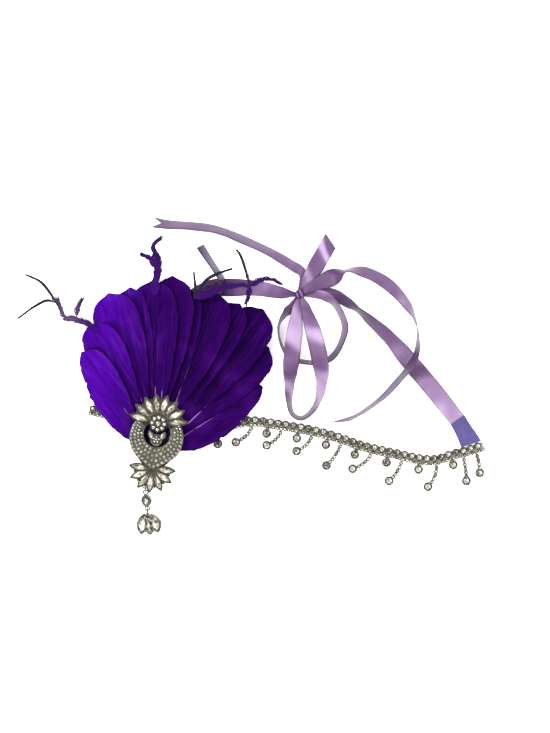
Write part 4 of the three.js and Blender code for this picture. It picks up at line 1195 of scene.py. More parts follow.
@dataclass
class Brooch:
    """Brooch over the quills: crescent of pave, two fans of marquises, flowers and the drop.

    Crest and lower are the fans: the height of the hub, the radius of the tips, the count of stones, their
    spread and the turn of their middle in degrees. Petals are the bud's: turn, place aside, length, width,
    depth and shine.
    """

    x: float = -0.3
    y: float = -8.2
    back: float = 12.4198
    lean: float = -7.5
    plate: float = 1.2
    gap: float = 0.3
    outer: float = 18.3
    inner: float = 8.9
    rise: float = 2.6
    tail: float = 22.0
    crest: tuple = (9.7, 19.4, 8, 160.0, 90.0)
    lower: tuple = (-21.4, 15.4, 7, 186.0, -90.0)
    marquise: tuple = (11.2, 5.2, 3.0)
    tuck: float = 1.4
    drop_turn: float = -78.0
    drop_tilt: float = 17.5
    eye_radius: float = 12.5
    half_arc: float = 129.0
    pave_reaches: tuple = (100, 116, 124, 126)
    shares: tuple = (0.02, 0.06, 0.14, 0.3, 0.5, 0.7, 0.86, 0.94, 0.98)
    rises: tuple = (0.0, 0.7, 0.85, 1.0, 1.1, 1.0, 0.85, 0.7, 0.0)
    wire: float = 0.42
    ring: float = 1.55
    link: float = 1.9
    connector: tuple = (9.4, 6.6, 3.0)
    bud: tuple = (15.5, 16.5, 5.6)
    petals: tuple = (
        (-13, -0.25, 0.9, 0.46, 0.86, 0.95), (15, 0.25, 0.84, 0.48, 0.86, 0.7), (2, 0, 0.97, 0.5, 1, 0.3),
    )

    def frame(self) -> Matrix:
        """Return the brooch's own frame in the world."""
        return lie(self.x, self.y, self.back, (1, 1, 1), self.lean)

    def drop_frame(self) -> Matrix:
        """Return the drop's frame: its X runs along the drop."""
        hub, _, count, spread, middle = self.lower
        x, y = around(self.eye_radius, middle + spread * (2.5 / (count - 1) - 0.5))
        place = lie(x, y + hub, self.plate / 2, (1, 1, 1), self.drop_turn)
        return self.frame() @ place @ Matrix.Rotation(math.radians(self.drop_tilt), 4, "Y")

    def set_stone(
        self, build: MeshBuild, place: Matrix, size: tuple, patterns: tuple, shine: float = 0.75
    ) -> None:
        """Set one stone in its cup, in slots 0 and 1. A high shine paints a bright highlight on its crown."""
        stone, cup = patterns
        length, width, tall = size
        build.stamp(cup, place @ Matrix.Diagonal((length, width, tall, 1)), 1)
        build.stamp(stone, place @ Matrix.Diagonal((length * 0.88, width * 0.86, tall, 1)), 0, 0.35, shine)

    def build_fan(self, name: str, fan: tuple, shop: "Shelf", wardrobe: dict) -> None:
        """Make one fan of marquise stones, each a piece of its own."""
        hub, tip, count, spread, middle = fan
        length, width, tall = self.marquise
        length += self.tuck
        for k in range(count):
            turn = middle + spread * (k / (count - 1) - 0.5)
            build = MeshBuild(f"{name}_{k + 1}_set", [Look.MARQUISE, Look.CUP])
            radius = tip - length / 2
            if k < count - 1:
                lean = turn + spread / (count - 1) / 2
                x, y = around(radius - 2.3, lean)
                under = self.frame() @ lie(x, y + hub, self.plate * 0.9, (1, 1, 1), lean)
                # The stone under the gap gets a dim painted highlight, the stones on top brighter ones by
                # turns.
                self.set_stone(build, under, (length * 0.9, width * 0.8, tall * 0.6), shop.marquise, 0.3)
            x, y = around(radius, turn)
            place = self.frame() @ lie(x, y + hub, self.plate + self.gap, (1, 1, 1), turn)
            self.set_stone(build, place, (length, width, tall), shop.marquise, 0.6 + 0.35 * (k % 2))
            for end in (-1, 1):
                for side in (-1, 1):
                    spot = place @ Matrix.Translation((end * length * 0.2, side * width * 0.4, tall * 0.62))
                    build.stamp(shop.bead, spot @ Matrix.Diagonal((0.7, 0.7, 0.8, 1)), 1)
            build.stand_in(f"{name}_{k + 1}", wardrobe, 25)

    def ring_place(self, turn: float, across: float) -> tuple[float, float, float]:
        """Return a place on the crescent and its width there, between its inner and outer edge."""
        ux, uy = math.cos(turn), math.sin(turn)
        middle = self.rise * uy
        inside = middle + math.sqrt(max(middle**2 - self.rise**2 + self.inner**2, 0))
        down = max(0.0, -uy)
        outside = self.outer + (self.tail - self.outer) * max(0.0, 1 - abs(turn + math.pi / 2) / 0.45) * down
        radius = inside + (outside - inside) * across
        return ux * radius, uy * radius, outside - inside

    def build_pave(self, shop: "Shelf", wardrobe: dict) -> None:
        """Make the domed crescent with rows of small stones and a beaded rim."""
        build = MeshBuild("crescent_pave_set", [Look.CRYSTAL, Look.CUP, Look.SILVER])
        base = self.plate + self.gap
        frame = self.frame()
        grid = []
        for k in range(91):
            turn = math.radians(-90 + self.half_arc * (k / 45 - 1))
            line = []
            for share, rise in zip(self.shares, self.rises):
                x, y, _ = self.ring_place(turn, share)
                line.append(build.point(frame @ Vector((x, y, base + rise))))
            grid.append(line)
        build.grid(grid, 1)
        build.face(grid[0], 1)
        build.face(reversed(grid[-1]), 1)
        for a, b in zip(grid, grid[1:]):
            build.face((a[0], a[-1], b[-1], b[0]), 1)
        for r, reach in enumerate(self.pave_reaches):
            across = 0.15 + 0.7 * r / (len(self.pave_reaches) - 1)
            turn = -90.0 - reach
            while turn <= -90 + reach:
                x, y, wide = self.ring_place(math.radians(turn), across)
                size = min(wide / 4.5, 2.7)
                place = frame @ lie(x, y, base + 0.62, (size, size, 1.25), turn + 11)
                # Each small stone: painted shade at its foot and a painted highlight of random strength on
                # its crown.
                build.stamp(shop.small, place, 0, 0.25, SPARKLE.choice((0.65, 0.8, 0.95)), 0.2)
                turn += math.degrees(size * 1.1 / math.hypot(x, y))
        for share in (0.045, 0.955):
            turn = -90.0 - self.pave_reaches[-1]
            while turn <= -90 + self.pave_reaches[-1]:
                x, y, _ = self.ring_place(math.radians(turn), share)
                build.stamp(shop.bead, frame @ lie(x, y, base + 0.75, (0.85, 0.85, 0.8)), 2)
                turn += math.degrees(1.15 / math.hypot(x, y))
        build.stand_in("crescent_pave", wardrobe, 30)

    def build_flowers(self, shop: "Shelf", wardrobe: dict) -> None:
        """Make the flower of round stones on the crest and the small flower in the opening."""
        frame = self.frame()
        base = self.plate + self.gap
        build = MeshBuild("flower_cluster_set", [Look.CRYSTAL, Look.CUP])
        hub = self.crest[0]
        build.stamp(shop.cup_round, frame @ lie(0, hub, base, (9.4, 9.4, 1.6)), 1)
        self.set_stone(build, frame @ lie(0, hub, base + 0.5, (1, 1, 1), 10), (4.9, 4.9, 3.0), shop.round)
        for turn in range(0, 360, 45):
            x, y = around(4.1, turn)
            place = frame @ lie(x, y + hub, base + 0.05, (1, 1, 1))
            self.set_stone(build, place, (3.5, 3.5, 2.7), shop.round)
            x, y = around(2.45, turn + 22.3454)
            build.stamp(shop.bead, frame @ lie(x, y + hub, base + 2.9, (0.7, 0.7, 0.7)), 1)
        build.stand_in("flower_cluster", wardrobe, 25)
        build = MeshBuild("inner_petals_set", [Look.MARQUISE, Look.CUP])
        length, width, tall = self.marquise
        for side in (-1, 1):
            place = frame @ lie(side * 3.9, self.rise - 1.2, 0, (1, 1, 1), 90 - side * 28)
            self.set_stone(build, place, (length * 0.58, width * 0.69, tall * 0.8), shop.marquise)
        build.stamp(shop.cup_round, frame @ lie(0, self.rise - 4.2, 0, (7.4, 7.4, 0.96)), 1)
        for k in range(5):
            x, y = around(1.75, 72 * k + 17.1887)
            place = frame @ lie(x, y + self.rise - 3.9, 0.6, (1, 1, 1))
            self.set_stone(build, place, (1.9, 1.9, 1.7), shop.round)
        self.set_stone(build, frame @ lie(0, self.rise - 3.8, 0.9, (1, 1, 1)), (2.1, 2.1, 1.6), shop.round)
        build.stand_in("inner_petals", wardrobe, 25)

    def build_drop(self, shop: "Shelf", wardrobe: dict) -> None:
        """Make the connector and the bud, each one rigid piece with its rings."""
        frame = self.drop_frame()
        step = self.ring + self.wire + self.gap / 2
        start = step * 2 + self.ring
        length = self.connector[0]
        far = start + length + self.ring - self.wire * 2
        build = MeshBuild("drop_connector_set", [Look.CRYSTAL, Look.CUP])
        for x in (step * 2, far):
            self.add_ring(build, frame @ Matrix.Translation((x, 0, 0)), self.ring)
        place = frame @ Matrix.Translation((start + length / 2 - self.wire, 0, -0.9))
        self.set_stone(build, place, self.connector, shop.marquise, 0.25)
        build.stand_in("drop_connector", wardrobe, 30)
        bail = far + step
        build = MeshBuild("drop_bud_set", [Look.MARQUISE, Look.CUP, Look.SILVER])
        upright = Matrix.Rotation(math.pi / 2, 4, "X")
        self.add_ring(build, frame @ Matrix.Translation((bail, 0, 0)) @ upright, self.link)
        length, width, deep = self.bud
        middle = bail + self.link + length / 2 - self.wire
        for turn, aside, long, wide, full, shine in self.petals:
            place = frame @ lie(middle, aside * width, -deep / 2, (1, 1, 1), turn)
            self.set_stone(build, place, (length * long, width * wide, deep * full), shop.marquise, shine)
        for k in range(5):
            place = frame @ Matrix.Translation((middle - 5.6 + 0.7 * k, (k - 2) * 1.1, 2.3))
            build.stamp(shop.bead, place @ Matrix.Diagonal((1.1, 1.1, 1.1, 1)), 2)
        build.stand_in("drop_bud", wardrobe, 30)

    def add_ring(self, build: MeshBuild, place: Matrix, radius: float) -> None:
        """Add a round wire ring in the XY plane of a place."""
        rows = []
        for k in range(24):
            row = []
            for c in range(8):
                out, up = around(self.wire, 45 * c)
                row.append(build.point(place @ Vector((*around(radius + out, 15 * k), up))))
            rows.append(row + row[:1])
        build.grid(rows + rows[:1], 1)

    def build(self, shop: "Shelf", wardrobe: dict) -> None:
        """Make the brooch's fans, crescent, flowers and drop."""
        self.build_fan("crest_stone", self.crest, shop, wardrobe)
        self.build_fan("lower_stone", self.lower, shop, wardrobe)
        self.build_pave(shop, wardrobe)
        self.build_flowers(shop, wardrobe)
        self.build_drop(shop, wardrobe)


@dataclass
class Shelf:
    """The stones and cups that the settings copy."""

    round: tuple
    marquise: tuple
    small: Pattern
    cup_round: Pattern
    bead: Pattern

    @classmethod
    def stock(cls) -> "Shelf":
        """Cut one of each and return the shelf."""
        shop = StoneShop()
        fine = StoneShop(8)
        return cls(
            (fine.stone(StoneCut.ROUND), shop.cup(StoneCut.ROUND)),
            (shop.stone(StoneCut.MARQUISE), shop.cup(StoneCut.MARQUISE)),
            fine.stone(StoneCut.ROUND),
            shop.cup(StoneCut.ROUND),
            fine.bead(),
        )


@dataclass
class Chain:
    """Rhinestone chain: a row of set stones with a row of small ones beneath, and drops along its lower side.

    A short drop is its share of the run and its reach in half widths. A long drop is its share of the run,
    then how far its end hangs out and aside, as shares of drop_reach.
    """

    width: float = 6.8
    base: float = 0.9
    tall: float = 3.2
    stone: float = 4.5
    pitch: float = 5.2
    lift: float = 1.8
    pad: float = 17.0
    ramp: float = 14.0
    small: tuple = (2.15, 1.75)
    small_pitch: float = 2.6
    end: tuple = (5.6, 3.0)
    drop_reach: float = 16.0
    left: list = field(default_factory=lambda: [(-46.6, 10.2), (-34, 7.6), (-17, 5.6), (-0.2, 4.6)])
    right: list = field(
        default_factory=lambda: [
            (0.2, 4.6), (17, 3), (34, 1.2), (50.3, 0.3), (59, 2.2), (69, 2.1), (78.3, 0.7), (99.4, -2.9),
            (118.7, -7.5), (139.2, -14.5), (160.8, -19.5), (181.6, -23.8), (190, -23.6), (199, -20.6),
            (210, -17.8), (221.6, -14.2),
        ]
    )
    short: list = field(
        default_factory=lambda: [
            (0.185, 3.1), (0.333, 1.25), (0.425, 1.2), (0.517, 1.2), (0.61, 1.2), (0.705, 1.2), (0.802, 1.2),
            (0.895, 1.1),
        ]
    )
    long: list = field(
        default_factory=lambda: [
            (0.283, 0.66, -0.66), (0.375, 0.7, -0.52), (0.469, 0.74, -0.5), (0.562, 1.04, -0.28),
            (0.655, 0.78, -0.62), (0.75, 0.94, -0.34), (0.85, 0.84, -0.5), (0.932, 0.98, -0.12),
            (0.972, 0.8, -0.12),
        ]
    )

    def route(self, points: list) -> Route:
        """Return the curve through a list of places."""
        return Route([Vector((x, y, 0)) for x, y in points])

    def spot(self, route: Route, share: float) -> tuple[Vector, Vector, Vector]:
        """Return the middle, direction and upper side of the chain at a share of its length."""
        s = route.share_at(share * route.length())
        centre, ahead = route.at(s), route.ahead(s)
        past = min(max(0.0, abs(centre.x) - self.pad - 1) / self.ramp, 1.0)
        centre.z = self.lift * (1 - past * past * (3 - 2 * past))
        return centre, ahead, Vector((-ahead.y, ahead.x, 0))

    def set_round(
        self, build: MeshBuild, place: Vector, size: tuple, turn: float, shop: Shelf, prongs: bool = False
    ) -> None:
        """Set one round stone in a cup.

        Args:
            build: The piece that is being made.
            place: Middle of the cup's foot.
            size: Its width and height.
            turn: Its turn in degrees.
            shop: The stones and cups.
            prongs: Whether four prongs hold it.
        """
        stone, cup = shop.round
        wide, tall = size
        build.stamp(cup, lie(*place, (wide, wide, tall), turn), 1)
        # A painted highlight of random strength on the stone's crown, painted shade at its foot.
        shine = SPARKLE.choice((0.35, 0.6, 0.8, 0.95))
        build.stamp(stone, lie(*place, (wide * 0.86, wide * 0.86, tall * 1.02), turn), 0, 0.3, shine)
        for k in range(4 if prongs else 0):
            x, y = around(wide * 0.42, turn + 45 + 90 * k)
            spot = place + Vector((x, y, tall * 0.66))
            build.stamp(shop.bead, lie(*spot, (wide * 0.2, wide * 0.2, tall * 0.34)), 2)

    def build_run(self, name: str, points: list, drops: list, shop: Shelf, wardrobe: dict) -> None:
        """Make one run of chain with its short drops."""
        route = self.route(points)
        length = route.length()
        build = MeshBuild(f"{name}_set", [Look.CRYSTAL, Look.CUP, Look.SILVER])
        small = int(length / self.small_pitch)
        steps = max(4, small)
        rings = []
        for k in range(steps + 1):
            centre, _, across = self.spot(route, k / steps)
            half = self.width / 2 * (0.8 if k % 2 else 1.0) * 0.94
            ring = [
                build.point(centre + across * side * half + Vector((0, 0, z)))
                for side, z in ((-1, 0.0), (1, 0.0), (1, self.base), (-1, self.base))
            ]
            rings.append(ring + ring[:1])
        build.skin(rings, 2)
        count = int((length - self.stone) // self.pitch)
        margin = (length - count * self.pitch) / 2
        size = self.stone * 1.06, self.tall - self.base / 2
        up = Vector((0, 0, self.base / 2))
        for k in range(count + 1):
            centre, ahead, across = self.spot(route, (margin + k * self.pitch) / length)
            place = centre + across * (self.width - self.stone) / 2 + up
            self.set_round(build, place, size, bearing(ahead), shop, prongs=True)
        for k in range(small):
            centre, ahead, across = self.spot(route, (k + 0.5) / small)
            place = centre - across * (self.width / 2 - 1.05) + up
            self.set_round(build, place, self.small, bearing(ahead), shop)
        half_end = self.end[0] / 2
        for at, reach in drops:
            centre, ahead, across = self.spot(route, at)
            out = self.width / 2 * reach + half_end
            bare = out - self.width / 2 - half_end
            self.set_round(build, centre - across * out, self.end, bearing(ahead), shop, prongs=True)
            links = max(1, round(bare / 1.9) + 1)
            for k in range(links):
                place = centre - across * (self.width / 2 + 0.2 + (bare + 0.2) * (k + 0.5) / links)
                self.set_round(build, place, (1.9, 1.6), bearing(ahead), shop)
        build.stand_in(name, wardrobe, 30)

    def build_long_drop(self, number: int, drop: tuple, shop: Shelf, wardrobe: dict) -> None:
        """Make one long drop: a bent line of small set stones and a large end stone."""
        at, out, aside = drop
        centre, ahead, across = self.spot(self.route(self.right), at)
        out, aside = out * self.drop_reach, aside * self.drop_reach
        start = centre - across * (self.width / 2 + 0.3)
        knee = start - across * out * 0.62 + ahead * aside * 0.18
        end = start - across * out + ahead * aside

        def bend(t: float) -> Vector:
            """Return the place at a share of the bend."""
            return start * (1 - t) ** 2 + knee * 2 * t * (1 - t) + end * t * t

        build = MeshBuild(f"long_drop_{number}_set", [Look.CRYSTAL, Look.CUP, Look.SILVER])
        rings = []
        for k in range(15):
            t = k / 14
            way = (bend(min(t + 0.01, 1)) - bend(max(t - 0.01, 0))).normalized()
            side = Vector((-way.y, way.x, 0)) * (1.0 if k % 2 else 0.72)
            ring = [
                build.point(bend(t) + side * s + Vector((0, 0, z)))
                for s, z in ((-1, 0), (1, 0), (1, 0.8), (-1, 0.8))
            ]
            rings.append(ring + ring[:1])
        build.skin(rings, 2)
        span = sum((bend((k + 1) / 20) - bend(k / 20)).length for k in range(20))
        count = max(3, int((span - 2.4) / 2.4))
        for k in range(count):
            t = (k + 0.5) / count * (span - 2.6) / span
            place = bend(t) + Vector((0, 0, 0.4))
            self.set_round(build, place, (2.6, 1.6), bearing(bend(t + 0.02) - bend(t)), shop)
        self.set_round(build, end, self.end, 15.0 * number, shop, prongs=True)
        build.stand_in(f"long_drop_{number}", wardrobe, 30)

    def build(self, shop: Shelf, wardrobe: dict) -> None:
        """Make both runs and the nine long drops."""
        self.build_run("chain_left", self.left, [], shop, wardrobe)
        self.build_run("chain_right", self.right, self.short, shop, wardrobe)
        for k, drop in enumerate(self.long):
            self.build_long_drop(k + 1, drop, shop, wardrobe)


# How each ribbon lies: rows of x, y, rise, lean in degrees and span, as shares of its run and its width.
LAY = {
    "tail_long": [
        (0, 0, 0.03, 0, 0.25), (-0.02, 0.28, 0, -12, 0.5), (0.07, 0.42, 0, -52, 0.9), (0.21, 0.59, 0, -60, 1),
        (0.39, 0.76, 0, -61, 1), (0.57, 0.9, 0, -61, 1), (0.75, 0.95, 0, -60, 1), (0.9, 0.97, 0, -57, 1),
        (1, 1, 0, -53, 1),
    ],
    "tail_curl": [
        (0, 0, 0.46, 0, 0.25), (0.11, -0.06, 0.46, 0, 0.6), (0.26, -0.12, 0.44, 12, 1),
        (0.39, -0.18, 0.1, 78, 1), (0.56, -0.166, 0, 50, 1), (0.74, -0.08, 0, 42, 1), (0.9, 0.07, 0, 55, 1),
        (0.98, 0.2, 0, 78, 1), (1, 0.31, 0.1, 95, 1), (0.99, 0.45, 0.38, 103, 1), (0.94, 0.55, 0.36, 112, 1),
        (0.83, 0.67, 0.26, 108, 1), (0.73, 0.77, 0.05, 105, 1), (0.61, 0.86, 0, 102, 0.95),
        (0.47, 0.94, 0, 99, 0.85), (0.28, 1, 0, 108, 0.7),
    ],
    "tie_right": [
        (0, 0, 0.03, 0, 0.25), (0.18, -0.01, 0, -10, 0.6), (0.286, 0.06, 0, -55, 0.9),
        (0.362, 0.125, 0, -74, 1), (0.45, 0.22, 0, -58, 1), (0.55, 0.33, 0, -46, 1), (0.69, 0.53, 0, -14, 1),
        (0.84, 0.75, 0, -12, 1), (1, 1, 0, 0, 0.92),
    ],
    "loop_ring": [
        (0, 0, 0.03, 0, 0.25), (-0.18, 0.185, 0, 20, 0.5), (-0.35, 0.31, 0, 74, 1), (-0.46, 0.44, 0, 82, 1),
        (-0.47, 0.61, 0, 83, 1), (-0.34, 0.84, 0, 80, 1), (-0.18, 0.94, 0, 74, 1), (0.25, 1, 0, 74, 1),
        (0.6, 0.97, 0, 74, 1), (0.8, 0.86, 0, 72, 1), (1, 0.53, 0, 70, 1), (0.96, 0.37, 0.1, 72, 1),
        (0.76, 0.14, 0.24, 70, 1), (0.5, 0.02, 0.24, 35, 0.6), (0, 0, 0.22, 0, 0.25),
    ],
    "loop_down": [
        (0, 0, 0.22, 0, 0.25), (-0.12, 0.12, 0.3, 0, 0.6), (-0.28, 0.33, 0.8, 8, 0.93),
        (-0.41, 0.53, 1.08, 22, 1), (-0.46, 0.62, 1, 36, 1), (-0.5, 0.735, 0.35, 55, 1),
        (-0.5, 0.888, 0, 74, 1), (-0.34, 0.97, 0, 76, 1), (0.05, 1, 0, 76, 1), (0.4, 0.97, 0, 76, 1),
        (0.76, 0.89, 0, 74, 1), (1, 0.735, 0.35, 55, 1), (1, 0.62, 1, 36, 1), (0.92, 0.53, 1.08, 22, 1),
        (0.66, 0.33, 0.9, 8, 0.93), (0.26, 0.12, 0.55, 0, 0.6), (0, 0, 0.42, 0, 0.25),
    ],
    "tie_left": [
        (0, 0, 0.03, 0, 0.25), (0.1, -0.015, 0, 25, 0.75), (0.17, -0.04, 0, 38, 1), (0.24, -0.055, 0, 30, 1),
        (0.34, -0.06, 0, 8, 1), (0.41, -0.055, 0, 0, 1), (0.5, 0.03, 0, 0, 1), (0.66, 0.32, 0, 0, 1),
        (0.84, 0.68, 0, 0, 1), (0.985, 0.965, 0, 0, 0.6),
    ],
    "tail_short": [
        (0, 0, 0.15, 0, 1), (0.4, 0.2, 0.15, 0, 1), (0.86, 0.32, 0.2, -40, 1), (1, 0.46, 0.2, -68, 1),
        (0.87, 0.62, 0.1, -68, 1), (0.7, 0.78, 0, -68, 1), (0.47, 1, 0, -65, 1),
    ],
}
# The painted highlight and shade bands of each ribbon: its share of the length and its tone.
SHINE = {
    "tail_long": [
        (0, 0.6), (0.1, 0.6), (0.3, 0.42), (0.6, 0.36), (0.8, 0.36), (1, 0.3),
    ],
    "tail_curl": [
        (0, 0.4), (0.06, 0.3), (0.12, 0.28), (0.2, 0.42), (0.3, 0.5), (0.42, 0.62), (0.5, 0.55), (0.58, 0.3),
        (0.66, 0.2), (0.75, 0.22), (0.82, 0.3), (0.88, 0.5), (0.94, 0.35), (1, 0.2),
    ],
    "tie_right": [
        (0, 0.5), (0.1, 0.65), (0.2, 0.28), (0.3, 0.15), (0.42, 0.4), (0.55, 0.6), (0.64, 0.65), (0.69, 0.4),
        (0.75, 0.66), (0.9, 0.72), (1, 0.85),
    ],
    "loop_ring": [
        (0, 0.4), (0.15, 0.3), (0.3, 0.08), (0.5, 0.15), (0.6, 0.25), (0.7, 0.45), (0.82, 0.6), (1, 0.5),
    ],
    "loop_down": [
        (0, 0.6), (0.08, 0.85), (0.17, 0.92), (0.22, 0.5), (0.3, 0.4), (0.36, 0.85), (0.42, 0.4), (0.5, 0.12),
        (0.56, 0.5), (0.62, 0.98), (0.68, 0.85), (0.74, 0.4), (0.8, 0.5), (0.85, 0.88), (0.9, 0.5),
        (0.95, 0.3), (1, 0.5),
    ],
    "loop_up": [
        (0, 0.4), (0.4, 0.4), (0.5, 0.3), (0.56, 0.42), (0.62, 1.0), (0.68, 0.5), (0.8, 0.4), (0.88, 0.8),
        (0.95, 0.6), (1, 0.4),
    ],
    "tie_left": [
        (0, 0.5), (0.08, 0.6), (0.15, 0.8), (0.22, 0.62), (0.29, 0.18), (0.36, 0.0), (0.5, 0.1), (1, 0.1),
    ],
    "tail_short": [
        (0, 0.3), (0.5, 0.3), (0.62, 0.25), (0.8, 0.4), (1, 0.2),
    ],
}


@dataclass
class Ribbons:
    """Satin ribbons of the bow and the ties, each a thin sheet cut from a flat strip."""

    width: float = 12.0
    thick: float = 0.34
    knot: tuple = (96.6, 89.0)
    knot_size: float = 6.6
    knot_height: float = 7.6
    tuck: float = 0.9
    step: float = 1.3
    columns: int = 9
    cut_reach: float = 20.0
    fold_reach: float = 14.0
    loop_turn: float = 60.0
    loop_reach: float = 39.0
    loop_foot: float = 2.7
    loop_tall: float = 3.6
    loop_width: float = 11.0
    profile: tuple = (
        (0, 0, 0.3), (0.22, 0, 0.8), (0.6, 0, 1), (0.93, 0, 1), (0.99, 0.2, 1), (1, 0.5, 1),
        (0.99, 0.8, 1), (0.93, 1, 1), (0.76, 0.95, 1), (0.5, 0.4, 1), (0.22, 0.37, 0.8), (0, 0.37, 0.3),
    )

    def knot_exit(self, turn: float) -> Vector:
        """Return where a ribbon's end meets the knot's side."""
        x, y = around(self.knot_size / 2 - self.tuck, turn)
        return Vector((self.knot[0] + x, self.knot[1] + y, 0))

    def strip(
        self,
        name: str,
        run: tuple,
        wardrobe: dict,
        leave: float | None = None,
        enter: float | None = None,
        start: tuple | None = None,
        notch: float = 0.0,
        point: float = 0.0,
        look: Look = Look.SATIN,
    ) -> None:
        """Make one ribbon in place of its solid. LAY gives how it lies, and SHINE its painted highlight and
        shade bands.

        Args:
            name: Name of the solid that it stands for.
            run: How far the ribbon runs along X and Y.
            wardrobe: Material of each look.
            leave: Turn at which it leaves the knot.
            enter: Turn at which it comes back to the knot.
            start: Start place when it isn't the knot.
            notch: Depth of the swallow-tail cut, as a share of the width.
            point: Slant of the end cut, as a share of the width.
            look: Its finish.
        """
        sx, sy = start or self.knot
        table = [dict(zip(("x", "y", "rise", "lean", "span"), row)) for row in LAY[name]]
        points = [Vector((sx + r["x"] * run[0], sy + r["y"] * run[1], 0)) for r in table]
        if leave is not None:
            points[0] = self.knot_exit(leave)
        if enter is not None:
            points[-1] = self.knot_exit(enter)
        route = Route(points)
        spans = len(points) - 1
        build = MeshBuild(f"{name}_satin", [look])
        grid, places, travelled, before = [], [], 0.0, None
        for row in range(spans):
            count = max(2, round((points[row + 1] - points[row]).length / self.step))
            places.extend(row + k / count for k in range(count))
        places.append(float(spans))
        for place in places:
            centre, ahead = route.at(place / spans), route.ahead(place / spans)
            level = ahead.cross(Vector((0, 0, 1))).normalized()
            lean = math.radians(eased(table, "lean", place))
            wide = eased(table, "span", place) * self.width
            across = level * math.cos(lean) + Vector((0, 0, 1)) * math.sin(lean)
            out = level * -math.sin(lean) + Vector((0, 0, 1)) * math.cos(lean)
            tall = (wide * abs(math.sin(lean)) + abs(math.cos(lean))) / 2
            centre.z = eased(table, "rise", place) * self.width + tall
            travelled += (centre - before).length if before else 0.0
            before = centre.copy()
            left = (Vector((points[-1].x, points[-1].y, centre.z)) - centre).length
            pull = max(0.0, 1 - left / self.cut_reach) ** 2 * (place > spans - 3) * self.width
            line = []
            for k in range(self.columns):
                side = 2 * k / (self.columns - 1) - 1
                cut = (notch * (1 - abs(side)) + point * (1 + side) / 2) * pull
                near = max(0.0, 1 - travelled / self.fold_reach) * (leave is not None)
                fold = 0.16 * math.cos(side * 7.5) * near + 0.28 * (0.35 - side * side) * (1 - near)
                fold += 0.12 * math.sin(travelled * 0.21 + side * 1.3)
                spot = centre + across * (side * wide / 2) - ahead * cut + out * fold
                spot.z = max(spot.z, self.thick * 0.6)
                line.append(build.point(spot, (side * self.width / 2, travelled - cut)))
            grid.append(line)
        build.grid(grid)
        self.finish_sheet(build, name, travelled, wardrobe)

    def shine(self, build: MeshBuild, name: str, length: float) -> None:
        """Write a ribbon's painted highlight and shade bands as its tone, slanting a little across it."""
        stops = SHINE[name]
        for k, (across, along) in enumerate(build.marks):
            share = min(max((along + across * 0.5) / length, 0.0), 1.0)
            for (a, low), (b, high) in zip(stops, stops[1:]):
                if share <= b:
                    t = (share - a) / (b - a)
                    build.tones[k] = low + (high - low) * t * t * (3 - 2 * t)
                    break

    def finish_sheet(self, build: MeshBuild, name: str, length: float, wardrobe: dict) -> None:
        self.shine(build, name, length)
        made = build.stand_in(name, wardrobe, 180)
        thicken(made, self.thick)
        self.width * MM
        length * MM

    def loop_up(self, wardrobe: dict) -> None:
        """Make the loop that is pressed flat, out from the knot and back over itself."""
        start, low = self.knot_size / 2 - self.tuck, self.loop_foot
        points, table = [], []
        for out, up, span in self.profile:
            points.append(Vector((start + out * self.loop_reach, 0, low + up * self.loop_tall)))
            table.append({"span": span, "out": out})
        route = Route(points)
        build = MeshBuild("loop_up_satin", [Look.SATIN])
        frame = lie(*self.knot, 0, (1, 1, 1), self.loop_turn)
        grid, travelled, before = [], 0.0, None
        for k in range(101):
            place = k / 100 * (len(self.profile) - 1)
            centre, ahead = route.at(k / 100), route.ahead(k / 100)
            out = Vector((-ahead.z, 0, ahead.x))
            half = eased(table, "span", place) * self.loop_width / 2
            far = eased(table, "out", place)
            travelled += (centre - before).length if before else 0.0
            before = centre
            line = []
            for c in range(self.columns):
                side = 2 * c / (self.columns - 1) - 1
                fold = 0.2 * math.cos(side * 6) * (1 - min(1, far * 3)) + 0.18 * (0.4 - side * side)
                spot = centre + Vector((side * half * 0.5 * far**3, side * half, 0.5)) + out * fold
                line.append(build.point(frame @ spot, (side * self.width / 2, travelled)))
            grid.append(line)
        build.grid(grid)
        self.finish_sheet(build, "loop_up", travelled, wardrobe)

    def knot_piece(self, wardrobe: dict) -> None:
        """Make the knot: a full, rounded lump whose satin is drawn in by folds."""
        clear_selection()
        x, y = self.knot
        bpy.ops.mesh.primitive_uv_sphere_add(segments=48, ring_count=24, radius=1.0, location=(0, 0, 0))
        made = bpy.context.object
        made.name = "bow_knot_satin"
        for v in made.data.vertices:
            flat = max(math.hypot(v.co.x, v.co.y), 1e-6)
            full = min(flat, 1.0) ** 0.6 / flat * self.knot_size / 2
            rise = math.copysign(abs(v.co.z) ** 0.75, v.co.z)
            v.co = Vector((x + v.co.x * full, y + v.co.y * full, (1 + rise) / 2 * self.knot_height)) * MM
        sub = made.modifiers.new("smooth", "SUBSURF")
        sub.levels = sub.render_levels = 1
        apply_modifiers(made)
        layer = made.data.uv_layers.active or made.data.uv_layers.new(name="UVMap")
        for v in made.data.vertices:
            side = v.co.x / MM - x
            up = v.co.z / MM / self.knot_height
            pleat = 1 - 0.07 * math.cos(side * 4.2 + (v.co.y / MM - y) * 0.8) * (0.4 + 0.6 * up)
            v.co.y = (y + (v.co.y / MM - y) * pleat) * MM
            if up > 0.7:
                v.co.z -= 0.35 * MM * (1 - math.cos(side * 3.4)) / 2
        for loop in made.data.loops:
            co = made.data.vertices[loop.vertex_index].co
            layer.data[loop.index].uv = (co.x / MM - x, co.y / MM + co.z / MM)
        places = [v.co / MM - Vector((x, y, 0)) for v in made.data.vertices]
        # Painted light in the tone: highlight bands across the folds and painted shade on the sides below the
        # top.
        dark = self.knot_height * 0.8
        tones = [0.45 + 0.3 * math.sin(p.x * 2.0 + p.y * 0.9) - 0.3 * (p.z < dark) for p in places]
        made.data.attributes.new("tone", "FLOAT", "POINT").data.foreach_set("value", tones)
        dress(made, wardrobe[Look.KNOTTED], "bow_knot")

